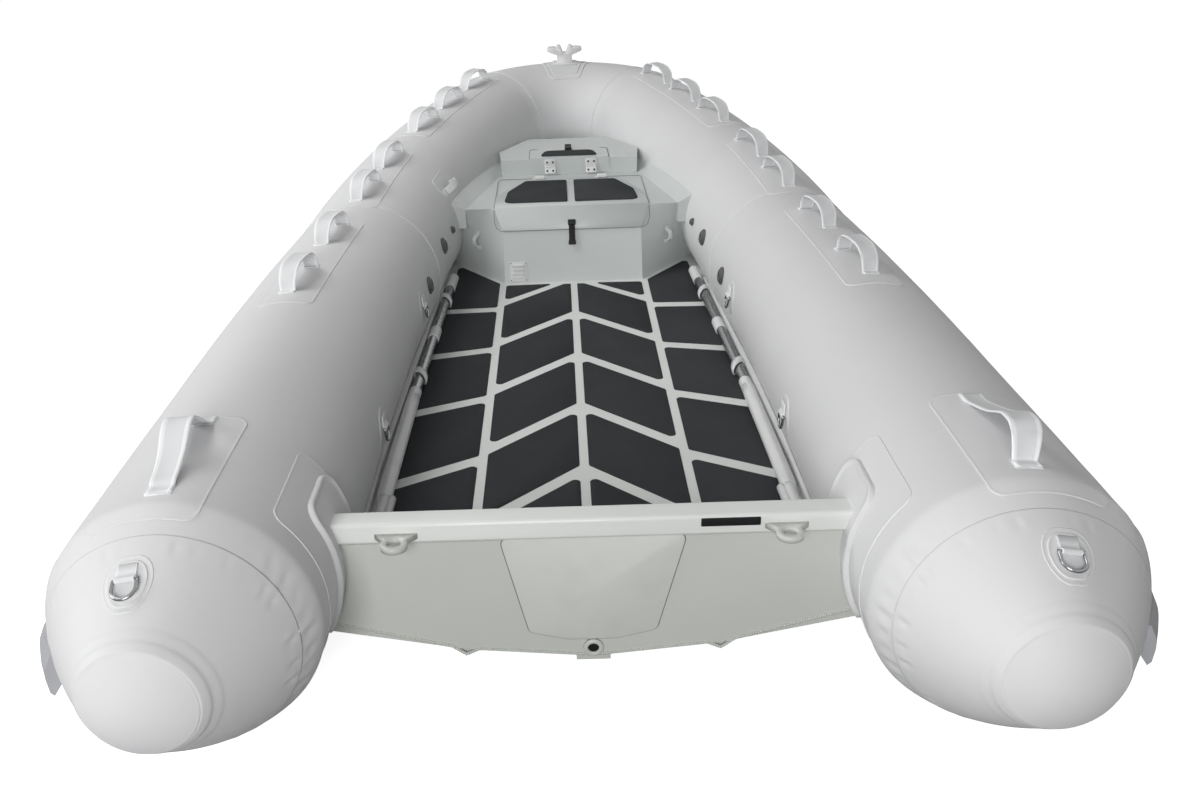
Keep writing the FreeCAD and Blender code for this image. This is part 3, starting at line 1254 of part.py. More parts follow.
def vent_grille():
    """The louvred vent on the riser."""
    lean = math.degrees(math.atan(size("(step_at - riser_at) / (step_top - deck_top)")))
    foot = Vector(-171, STERN + size("riser_at"), size("deck_top"))
    frame = Placement(foot, Rotation(Vector(1, 0, 0), -lean))
    frame = frame * Placement(Vector(0, -3.3, 38), Rotation())
    body = Part.makeBox(54, 3, 62, Vector(-27, 0, -31))
    for number in range(4):
        body = body.cut(Part.makeBox(36, 4, 4, Vector(-18, -1, -20 + number * 12)))
    item = doc.addObject("Part::Feature", "vent_shape")
    item.Shape = body
    item.Placement = frame
    part(item, "vent_grille")


def bow_cleat(seats):
    """The moulded cleat on the crown of the bow."""
    half = size("cleat_half")
    depth = size("cleat_depth")
    side = ((0.43, 0), (0.43, 0.5), (0.63, 0.58), (0.94, 0.7), (1, 0.8), (0.94, 0.89),
            (0.63, 0.92), (0.46, 0.89), (0.4, 1), (0.24, 1), (0.1, 0.62))
    side = [(half * x, size("cleat_height") * z) for x, z in side]
    side += [(-x, z) for x, z in reversed(side)]
    corners = [Vector(x, -depth / 2, z) for x, z in side]
    horns = Part.Face(Part.makePolygon(corners + corners[:1])).extrude(Vector(0, depth, 0))
    base = Part.makeBox(1.4 * half, 2 * depth, 5, Vector(-0.7 * half, -depth, 0))
    item = doc.addObject("Part::Feature", "cleat_shape")
    item.Shape = base.fuse(horns).removeSplitter()
    frame = skin_frame(ALL, 0)
    settle(item, seats, standing_off(item, frame), size("loop_rest"))
    part(item, "bow_cleat")


def write_parts():
    """Check every object and write each piece under its label."""
    doc.recompute()
    failed = [item.Name for item in doc.Objects if "Invalid" in item.State or "Error" in item.State]
    if failed:
        raise RuntimeError("these objects failed: %s" % ", ".join(failed))
    os.makedirs("parts", exist_ok=True)
    for item in parts:
        shape = item.Shape
        if shape.isNull() or not shape.isValid() or not shape.Solids:
            raise RuntimeError("%s has no valid solid" % item.Label)
        print("%-28s %2d solids  %.4f litres" % (item.Label, len(shape.Solids), shape.Volume / 1e6))
        shape.exportStep("parts/%s.step" % item.Label)


seats = tubes()
side_room, bow_room = tube_set("room", "tube_radius + tube_room")
end, end_room = tube_ends()
rub_strakes(side_room, bow_room, end_room)
bottom, port_room = hull(side_room, bow_room)
rooms = (side_room, port_room, bow_room)
transom(side_room, port_room)
deck(*rooms)
over = below_lockers()
bow_block = bow_block_outline("bow_block", "deck_top + 40")
locker = fuel_locker(rooms, over, bow_block)
fuel_lid()
anchor_locker(rooms, over, bow_block)
anchor_lid()
handles(seats)
rings_and_valves(end, seats)
carry_handle(seats)
side_rails(rooms)
oars()
tie_loops(locker)
vent_grille()
bow_cleat(seats)
write_parts()
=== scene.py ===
"""Looks of the rigid inflatable boat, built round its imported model.

Frame: +Z up, +Y to the bow, +X to starboard, metres. A station is a distance forward of
station zero of the model's source, and an angle on a tube is measured from its crown,
positive outboard.
"""
import json
import logging
import math
from contextlib import contextmanager
from dataclasses import dataclass, replace
from enum import Enum
from typing import Iterable, Iterator, Optional, Sequence

import bmesh
import bpy
import numpy as np
from mathutils import Matrix, Vector


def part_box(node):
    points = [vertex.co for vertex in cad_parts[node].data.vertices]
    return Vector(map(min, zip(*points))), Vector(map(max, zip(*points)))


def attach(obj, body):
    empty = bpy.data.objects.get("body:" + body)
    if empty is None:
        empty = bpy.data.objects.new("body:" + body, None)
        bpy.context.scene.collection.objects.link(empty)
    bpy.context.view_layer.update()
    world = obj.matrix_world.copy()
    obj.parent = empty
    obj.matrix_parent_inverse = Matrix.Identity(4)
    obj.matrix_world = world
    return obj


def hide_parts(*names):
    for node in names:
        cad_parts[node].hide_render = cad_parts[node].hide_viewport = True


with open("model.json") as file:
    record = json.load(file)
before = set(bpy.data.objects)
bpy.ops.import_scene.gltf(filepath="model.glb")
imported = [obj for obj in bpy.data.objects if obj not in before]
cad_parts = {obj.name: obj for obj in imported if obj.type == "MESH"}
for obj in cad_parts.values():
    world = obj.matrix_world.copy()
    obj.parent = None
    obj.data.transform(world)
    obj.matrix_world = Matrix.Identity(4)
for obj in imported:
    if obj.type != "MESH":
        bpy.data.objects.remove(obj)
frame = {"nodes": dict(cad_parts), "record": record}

LOG = logging.getLogger("boat")
PHOTO_SIZE = (1200, 800)
STERN = -1.764324
AXIS_HEIGHT = 0.215
DOUBLED = 1e-5
TOUCHING = 1e-6
WHITE = (1, 1, 1, 1)
EASED_TURN = math.radians(25.0)
Form = tuple  # points and faces, and on cloth each point's place on it


class Body(Enum):
    """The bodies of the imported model."""

    BOAT = "boat"
    FUEL_LID = "fuel_locker_lid"
    ANCHOR_LID = "anchor_locker_lid"


class Side(Enum):
    """The two sides of the boat."""

    STARBOARD = 1
    PORT = -1

    @property
    def tag(self) -> str:
        """The side's plain name."""
        return self.name.lower()


class Slot(Enum):
    """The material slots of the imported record."""

    TUBE = "tube_fabric"
    STRAKE = "grey_rubber"
    HULL = "painted_aluminium"
    PAD = "foam_pad"
    PLASTIC = "light_plastic"
    RUBBER = "dark_rubber"
    WEBBING = "webbing"
    METAL = "bright_metal"


# ---- node maths ----


class Value:
    """A socket or number with arithmetic that adds Math nodes."""

    def __init__(self, shader: "Shader", source: object) -> None:
        """Wrap a socket of a shader.

        Args:
            shader: the material being made.
            source: an output socket, or a number.
        """
        self.shader = shader
        self.source = source

    def math(self, operation: str, *others: object) -> "Value":
        """The result of one Math node.

        Args:
            operation: the node's operation.
            others: the other operands.

        Returns:
            The node's output.
        """
        made = self.shader.node("ShaderNodeMath", {"operation": operation},
                                dict(enumerate([self, *others])))
        return Value(self.shader, made.outputs[0])

    def __add__(self, other: object) -> "Value":
        """Sum."""
        return self.math("ADD", other)

    def __radd__(self, other: object) -> "Value":
        """Sum with a number first."""
        return Value(self.shader, other).math("ADD", self)

    def __sub__(self, other: object) -> "Value":
        """Difference."""
        return self.math("SUBTRACT", other)

    def __rsub__(self, other: object) -> "Value":
        """Difference with a number first."""
        return Value(self.shader, other).math("SUBTRACT", self)

    def __mul__(self, other: object) -> "Value":
        """Product."""
        return self.math("MULTIPLY", other)

    def __rmul__(self, other: object) -> "Value":
        """Product with a number first."""
        return Value(self.shader, other).math("MULTIPLY", self)

    def ramp(self, low: float, high: float) -> "Value":
        """A smooth step from 0 at low to 1 at high."""
        node = self.shader.node("ShaderNodeMapRange", {"interpolation_type": "SMOOTHSTEP"},
                                {"Value": self, "From Min": low, "From Max": high})
        return Value(self.shader, node.outputs["Result"])


class Graph:
    """A node tree with one method that adds any node."""

    def __init__(self, tree: bpy.types.NodeTree) -> None:
        """Keep the tree."""
        self.tree = tree

    def node(self, kind: str, settings: dict, inputs: dict) -> bpy.types.Node:
        """Add any node.

        Args:
            kind: the node's type.
            settings: the node's own settings, set first.
            inputs: values or links of its sockets by name or number.

        Returns:
            The node.
        """
        made = self.tree.nodes.new(kind)
        for name, value in settings.items():
            setattr(made, name, value)
        for name, value in inputs.items():
            self.feed(made.inputs[name], value)
        return made

    def feed(self, socket: bpy.types.NodeSocket, value: object) -> None:
        """Set a socket, or link it.

        Args:
            socket: the input.
            value: a number, colour, socket or wrapped value.
        """
        if isinstance(value, Value):
            value = value.source
        if isinstance(value, bpy.types.NodeSocket):
            self.tree.links.new(value, socket)
        else:
            socket.default_value = value


class Shader(Graph):
    """One material's nodes, with a method for each kind of texture used on the boat."""

    def __init__(self, name: str) -> None:
        """Start a material.

        Args:
            name: the material's name.
        """
        self.material = bpy.data.materials.new(name)
        self.material.use_nodes = True
        super().__init__(self.material.node_tree)
        self.surface = self.tree.nodes["Principled BSDF"]

    def place(self, scale: Sequence[float] = (1, 1, 1)) -> bpy.types.NodeSocket:
        """Object coordinates, scaled along each axis."""
        origin = self.node("ShaderNodeTexCoord", {}, {}).outputs["Object"]
        return self.node("ShaderNodeMapping", {}, {"Vector": origin, "Scale": scale}).outputs[0]

    def cloth(self) -> bpy.types.NodeSocket:
        """The piece's own UV map, in metres."""
        return self.node("ShaderNodeTexCoord", {}, {}).outputs["UV"]

    def noise(self, vector: object, scale: float, detail: float,
              roughness: float = 0.55) -> Value:
        """Fractal noise from 0 to 1.

        Args:
            vector: the place.
            scale: how fine it is.
            detail: how many octaves.
            roughness: how strong the fine ones are.

        Returns:
            The noise.
        """
        made = self.node("ShaderNodeTexNoise", {}, {"Vector": vector, "Scale": scale,
                                                    "Detail": detail, "Roughness": roughness})
        return Value(self, made.outputs["Fac"])

    def waves(self, vector: object, scale: float, direction: str) -> Value:
        """Plain bands along an axis, from 0 to 1."""
        made = self.node("ShaderNodeTexWave", {"bands_direction": direction},
                         {"Vector": vector, "Scale": scale})
        return Value(self, made.outputs["Fac"])

    def blend(self, factor: object, first: object, second: object) -> bpy.types.NodeSocket:
        """A mix of two colours.

        Args:
            factor: 0 for the first colour and 1 for the second.
            first: a colour or socket.
            second: a colour or socket.

        Returns:
            The mixed colour.
        """
        made = self.node("ShaderNodeMix", {"data_type": "RGBA"},
                         {0: factor, 6: first, 7: second})
        return made.outputs[2]

    def bump(self, height: Value, strength: float, distance: float) -> bpy.types.NodeSocket:
        """A normal from a height."""
        made = self.node("ShaderNodeBump", {}, {"Height": height, "Strength": strength,
                                                "Distance": distance})
        return made.outputs[0]

    def finish(self, **inputs: object) -> bpy.types.Material:
        """Set the surface's sockets, named with _ for spaces, and return the material."""
        for name, value in inputs.items():
            self.feed(self.surface.inputs[name.replace("_", " ")], value)
        return self.material


def tone(red: float, green: float, blue: float) -> tuple[float, float, float, float]:
    """A colour from its display values of 0 to 255."""
    parts = []
    for value in (red, green, blue):
        share = value / 255
        parts.append(share / 12.92 if share <= 0.04045 else ((share + 0.055) / 1.055) ** 2.4)
    return (*parts, 1.0)


def shade(colour: Sequence[float], by: float) -> tuple[float, float, float, float]:
    """A colour made lighter or darker."""
    return (*(min(1.0, part * by) for part in colour[:3]), 1.0)


# ---- finishes ----


@dataclass(frozen=True)
class CoatedFabric:
    """Satin coated tube fabric with a faint weave under its skin."""

    name: str = "coated_fabric"
    colour: tuple = tone(222, 222, 223)
    weave: float = 1150.0
    gloss: float = 0.46

    def make(self) -> bpy.types.Material:
        """The material."""
        shader = Shader(self.name)
        place = shader.place()
        cloud = shader.noise(place, 2.3, 2.0)
        dust = shader.noise(place, 38.0, 4.0, 0.6)
        mottle = shader.blend(cloud.ramp(0.3, 0.75), self.colour, shade(self.colour, 0.965))
        mottle = shader.blend(dust.ramp(0.55, 0.8) * 0.35, mottle, shade(self.colour, 0.93))
        thread = shader.waves(shader.cloth(), self.weave / 6.283, "X")
        thread = thread + shader.waves(shader.cloth(), self.weave / 6.283, "Y")
        grain = thread * 0.5 + shader.noise(place, 420.0, 2.0) * 0.9
        return shader.finish(
            Base_Color=mottle, Roughness=self.gloss + dust * 0.14 - cloud * 0.04,
            Normal=shader.bump(grain, 0.10, 0.0006), Specular_IOR_Level=0.14)


@dataclass(frozen=True)
class PaintedAluminium:
    """Powder coat on welded plate: a fine orange peel and faint streaky scuffs."""

    name: str = "painted_aluminium"
    colour: tuple = tone(201, 204, 198)
    gloss: float = 0.34

    def make(self) -> bpy.types.Material:
        """The material."""
        shader = Shader(self.name)
        place = shader.place()
        peel = shader.noise(place, 560.0, 2.0)
        cloud = shader.noise(place, 3.1, 3.0)
        scuff = shader.noise(shader.place((1, 0.12, 1)), 95.0, 5.0, 0.7)
        colour = shader.blend(cloud.ramp(0.35, 0.7), self.colour, shade(self.colour, 0.955))
        colour = shader.blend(scuff.ramp(0.66, 0.82) * 0.35, colour, shade(self.colour, 0.84))
        return shader.finish(
            Base_Color=colour, Roughness=self.gloss + scuff * 0.16,
            Normal=shader.bump(peel, 0.12, 0.0005), Coat_Weight=0.12)


@dataclass(frozen=True)
class DeckFoam:
    """Closed-cell foam of the deck pads, brushed to a fine tooth."""

    name: str = "deck_foam"
    colour: tuple = tone(64, 66, 68)

    def make(self) -> bpy.types.Material:
        """The material."""
        shader = Shader(self.name)
        place = shader.place()
        speck = shader.noise(place, 900.0, 3.0, 0.7)
        cloud = shader.noise(place, 5.0, 4.0)
        brush = shader.noise(shader.place((1, 0.06, 1)), 700.0, 2.0)
        colour = shader.blend(speck.ramp(0.35, 0.7), shade(self.colour, 0.86),
                              shade(self.colour, 1.16))
        colour = shader.blend(cloud.ramp(0.35, 0.75) * 0.5, colour, shade(self.colour, 1.2))
        return shader.finish(
            Base_Color=colour, Roughness=0.72 + speck * 0.2,
            Normal=shader.bump(speck + brush * 0.6, 0.5, 0.0006), Specular_IOR_Level=0.03)


@dataclass(frozen=True)
class Moulded:
    """Moulded rubber with a matt, slightly pitted skin."""

    name: str
    colour: tuple
    gloss: float = 0.55
    pits: float = 650.0
    detail: float = 3.0
    clouds: float = 9.0
    clear: float = 0.3
    stain: float = 0.88
    spread: float = 0.16
    depth: float = 0.22
    shine: float = 0.25

    def make(self) -> bpy.types.Material:
        """The material."""
        shader = Shader(self.name)
        place = shader.place()
        pit = shader.noise(place, self.pits, self.detail)
        cloud = shader.noise(place, self.clouds, 3.0)
        colour = shader.blend(cloud.ramp(self.clear, 0.75), self.colour,
                              shade(self.colour, self.stain))
        return shader.finish(
            Base_Color=colour, Roughness=self.gloss + pit * self.spread,
            Specular_IOR_Level=self.shine, Normal=shader.bump(pit, self.depth, 0.0005))


@dataclass(frozen=True)
class MouldedPlastic(Moulded):
    """Light moulded plastic with a fine spark-eroded texture."""

    name: str = "moulded_plastic"
    colour: tuple = tone(226, 227, 226)
    gloss: float = 0.4
    pits: float = 800.0
    detail: float = 2.0
    clouds: float = 14.0
    clear: float = 0.4
    stain: float = 0.95
    spread: float = 0.12
    depth: float = 0.15
    shine: float = 0.5


@dataclass(frozen=True)
class WovenBand:
    """White webbing: ribs, a cross weave and painted shade on the middle between its piping."""

    name: str = "woven_band"
    colour: tuple = tone(246, 247, 248)

    def make(self) -> bpy.types.Material:
        """The material."""
        shader = Shader(self.name)
        cloth = shader.cloth()
        ribs = shader.waves(cloth, 1 / 0.0030 / 3.1416, "Y")
        picks = shader.waves(cloth, 1 / 0.0021 / 3.1416, "X")
        weave = ribs * 0.6 + picks * 0.4
        # painted shade: the band's middle between the piping is darkened, so that the piped edges
        # look lit
        across = shader.node("ShaderNodeSeparateXYZ", {}, {0: shader.cloth()}).outputs["Y"]
        middle = 1 - Value(shader, across).math("ABSOLUTE").ramp(0.0118, 0.0142)
        cloud = shader.noise(shader.place(), 60.0, 3.0)
        colour = shader.blend(weave.ramp(0.15, 0.8), shade(self.colour, 0.965), self.colour)
        colour = shader.blend(cloud.ramp(0.5, 0.8) * 0.3, colour, shade(self.colour, 0.9))
        colour = shader.blend(middle * 0.8, colour, shade(self.colour, 0.78))
        return shader.finish(
            Base_Color=colour, Roughness=0.6 + weave * 0.12, Specular_IOR_Level=0.3,
            Normal=shader.bump(weave, 0.12, 0.0005))


@dataclass(frozen=True)
class PolishedSteel:
    """Polished stainless or bright anodised metal with hairline wear."""

    name: str = "polished_steel"
    # darker than bare steel: painted shade standing in for the darker surroundings that the steel
    # would reflect
    colour: tuple = (0.29, 0.295, 0.30, 1.0)
    gloss: float = 0.10

    def make(self) -> bpy.types.Material:
        """The material."""
        shader = Shader(self.name)
        hair = shader.noise(shader.place((1, 0.08, 1)), 900.0, 2.0)
        cloud = shader.noise(shader.place(), 45.0, 3.0)
        colour = shader.blend(cloud.ramp(0.4, 0.75), self.colour, shade(self.colour, 0.9))
        return shader.finish(
            Base_Color=colour, Metallic=1.0, Roughness=self.gloss + hair * 0.1 + cloud * 0.06,
            Normal=shader.bump(hair, 0.05, 0.0003))


class Finishes:
    """Every finish of the boat, made once."""

    def __init__(self) -> None:
        """Make the materials."""
        self.fabric = CoatedFabric().make()
        self.locker = PaintedAluminium("locker_paint", tone(203, 208, 206)).make()
        self.deck = PaintedAluminium("deck_paint", tone(230, 232, 229)).make()
        self.patch = CoatedFabric("patch_fabric", tone(223, 223, 224), 1150.0, 0.40).make()
        self.aluminium = PaintedAluminium().make()
        self.foam = DeckFoam().make()
        self.strake = Moulded("strake_rubber", tone(176, 177, 180)).make()
        self.black = Moulded("black_rubber", tone(22, 22, 24), 0.42).make()
        # grey of a rubber gasket, also used for the dark tubes along the lid gaps, which are
        # painted shade
        self.gasket_and_gap_shade = Moulded("gasket_rubber", tone(122, 125, 123), 0.6).make()
        self.webbing = WovenBand().make()
        self.steel = PolishedSteel().make()
        self.plastic = MouldedPlastic().make()
        self.plate = MouldedPlastic("motor_plate_paint", tone(208, 211, 206), 0.36).make()
        self.valve = Moulded("valve_rubber", tone(92, 93, 92), 0.36).make()
        self.shaft = PolishedSteel("brushed_shaft", (0.27, 0.275, 0.28, 1.0), 0.20).make()
        self.by_slot = {
            Slot.TUBE: self.fabric, Slot.STRAKE: self.strake, Slot.HULL: self.aluminium,
            Slot.PAD: self.foam, Slot.PLASTIC: self.plastic, Slot.RUBBER: self.black,
            Slot.WEBBING: self.webbing, Slot.METAL: self.steel}


# ---- meshes ----


def linked(name: str, data: bpy.types.ID) -> bpy.types.Object:
    """A new object of the scene."""
    item = bpy.data.objects.new(name, data)
    bpy.context.scene.collection.objects.link(item)
    return item


def dress(mesh: bpy.types.Mesh, material: bpy.types.Material) -> None:
    """Give a mesh one material."""
    mesh.materials.clear()
    mesh.materials.append(material)


@contextmanager
def edited(mesh: bpy.types.Mesh) -> Iterator[bmesh.types.BMesh]:
    """A mesh opened for changes, which go back into it."""
    work = bmesh.new()
    work.from_mesh(mesh)
    yield work
    work.to_mesh(mesh)
    work.free()


def add_piece(name: str, verts: np.ndarray, faces: Iterable[Sequence[int]],
              material: bpy.types.Material, slot: Slot, uv: np.ndarray,
              body: Body = Body.BOAT, replaces: Sequence[str] = ()) -> bpy.types.Object:
    """Make a mesh piece that rides on a body.

    Args:
        name: the piece's name.
        verts: its points in the frame.
        faces: its faces as point numbers.
        material: its finish.
        slot: the record's slot that it takes its finish from.
        uv: a place on the cloth for each point, in metres.
        body: the body that carries it.
        replaces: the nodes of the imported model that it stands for.

    Returns:
        The piece.
    """
    mesh = bpy.data.meshes.new(name)
    mesh.from_pydata([tuple(v) for v in np.asarray(verts, float)], [], [tuple(f) for f in faces])
    layer = mesh.uv_layers.new(name="cloth")
    corners = np.zeros(len(mesh.loops), np.int32)
    mesh.loops.foreach_get("vertex_index", corners)
    layer.data.foreach_set("uv", np.asarray(uv, np.float32)[corners].ravel())
    mesh.polygons.foreach_set("use_smooth", [True] * len(mesh.polygons))
    dress(mesh, material)
    mesh.update()
    piece = linked(name, mesh)
    settle_piece(piece, body, slot, replaces)
    return piece


def settle_piece(piece: bpy.types.Object, body: Body, slot: Slot,
                 replaces: Sequence[str]) -> None:
    """Tell the frame what a piece is.

    Args:
        piece: the finished piece.
        body: the body that carries it.
        slot: the record's slot of its finish; not used.
        replaces: the nodes that it stands for.
    """
    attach(piece, body.value)
    if replaces:
        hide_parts(*replaces)
    LOG.info("%s: %d faces on %s", piece.name, len(piece.data.polygons), body.value)


def join_forms(name: str, forms: Iterable[Form], material: bpy.types.Material, slot: Slot,
               merge: float = 0.0, **facts: object) -> bpy.types.Object:
    """Make one piece of several closed forms, with its faces turned outwards.

    Args:
        name: the piece's name.
        forms: the forms.
        material: its finish.
        slot: the record's slot of its finish.
        merge: the distance at which doubled points are merged.
        facts: the body that carries it, and the nodes that it replaces.

    Returns:
        The piece.
    """
    verts, faces, cloth, count = [], [], [], 0
    for points, sides, *places in forms:
        points = np.asarray(points, float).reshape(-1, 3)
        verts.append(points)
        cloth.append(places[0] if places else np.zeros((len(points), 2)))
        faces.extend(tuple(n + count for n in side) for side in sides)
        count += len(points)
    piece = add_piece(name, np.concatenate(verts), faces, material, slot,
                      np.concatenate(cloth), **facts)
    mend_normals(piece, merge)
    return piece


def unit(vectors: np.ndarray) -> np.ndarray:
    """Directions of length one."""
    return vectors / np.linalg.norm(vectors, axis=-1, keepdims=True)


def full_turn(count: int, start: float = 0.0) -> np.ndarray:
    """Even angles all the way round."""
    return np.linspace(start, start + 2 * math.pi, count, endpoint=False)


def grid_faces(rows: int, columns: int, round_columns: bool = False,
               flip: bool = False) -> list[tuple[int, ...]]:
    """Quads of a grid of points stored row by row.

    Args:
        rows: number of rows.
        columns: number of points in a row.
        round_columns: whether the last column joins the first.
        flip: whether the faces turn the other way.

    Returns:
        The quads.
    """
    faces = []
    for row in range(rows - 1):
        for column in range(columns if round_columns else columns - 1):
            after = (column + 1) % columns
            quad = (row * columns + column, row * columns + after,
                    (row + 1) * columns + after, (row + 1) * columns + column)
            faces.append(quad[::-1] if flip else quad)
    return faces


def lofted(rings: Sequence[np.ndarray]) -> Form:
    """A skin over closed rings of points, with a face over each end."""
    count = len(rings[0])
    faces = grid_faces(len(rings), count, True)
    faces += [tuple(range(count)), tuple(range((len(rings) - 1) * count, len(rings) * count))]
    return np.concatenate(rings), faces


def tube_form(path: np.ndarray, radius: float, sides: int, closed: bool = False) -> Form:
    """A round bar along a path.

    Args:
        path: the points of its middle.
        radius: its radius.
        sides: points round it.
        closed: whether the path returns to its start.

    Returns:
        Its points and faces.
    """
    path = np.asarray(path, float)
    count = len(path)
    if closed:
        tangent = np.roll(path, -1, 0) - np.roll(path, 1, 0)
    else:
        tangent = np.gradient(path, axis=0)
    tangent = unit(tangent)
    guide = (0.0, 0.0, 1.0) if abs(tangent[0][2]) < 0.9 else (1.0, 0.0, 0.0)
    normal = unit(np.cross(tangent[0], guide))
    turn = full_turn(sides)[:, None]
    rings = []
    for number in range(count):
        normal = unit(normal - tangent[number] * (normal @ tangent[number]))
        other = np.cross(tangent[number], normal)
        rings.append(path[number] + radius * (np.cos(turn) * normal + np.sin(turn) * other))
    verts = np.concatenate(rings)
    faces = grid_faces(count, sides, True, flip=True)
    if closed:
        last = (count - 1) * sides
        offset = int(np.argmin(np.linalg.norm(rings[0] - rings[-1][0], axis=1)))
        faces += [(last + side, (side + offset) % sides, (side + 1 + offset) % sides,
                   last + (side + 1) % sides) for side in range(sides)]
    else:
        faces.append(tuple(range(sides)))
        faces.append(tuple(range(count * sides - 1, (count - 1) * sides - 1, -1)))
    return verts, faces


def mend_normals(piece: bpy.types.Object, merge: float) -> None:
    """Merge doubled points of a closed form and turn its faces outwards."""
    with edited(piece.data) as work:
        if merge:
            bmesh.ops.remove_doubles(work, verts=work.verts, dist=merge)
        bmesh.ops.recalc_face_normals(work, faces=work.faces)


def applied(piece: bpy.types.Object) -> None:
    """Apply a piece's modifiers to its mesh."""
    graph = bpy.context.evaluated_depsgraph_get()
    mesh = bpy.data.meshes.new_from_object(piece.evaluated_get(graph))
    piece.modifiers.clear()
    piece.data = mesh


def eased_copy(node: str, width: float, finish: bpy.types.Material, slot: Slot,
               body: Body = Body.BOAT, segments: int = 2) -> bpy.types.Object:
    """A copy of a rigid node with its sharp edges eased, which stands for the node.

    Args:
        node: the node's name.
        width: how far the easing reaches.
        finish: its material.
        slot: the record's slot of its finish.
        body: the body that carries it.
        segments: faces across an eased edge.

    Returns:
        The piece.
    """
    mesh = frame["nodes"][node].data.copy()
    with edited(mesh) as work:
        bmesh.ops.remove_doubles(work, verts=work.verts, dist=DOUBLED)
        bmesh.ops.dissolve_limit(work, angle_limit=math.radians(0.5), verts=work.verts,
                                 edges=work.edges)
    piece = linked(node + "_eased", mesh)
    dress(mesh, finish)
    ease = piece.modifiers.new("ease", "BEVEL")
    ease.width = width
    ease.segments = segments
    ease.limit_method = "ANGLE"
    ease.angle_limit = EASED_TURN
    ease.harden_normals = True
    applied(piece)
    piece.data.polygons.foreach_set("use_smooth", [True] * len(piece.data.polygons))
    for layer in list(piece.data.uv_layers):
        piece.data.uv_layers.remove(layer)
    settle_piece(piece, body, slot, [node])
    return piece


# ---- the inflated tube ----


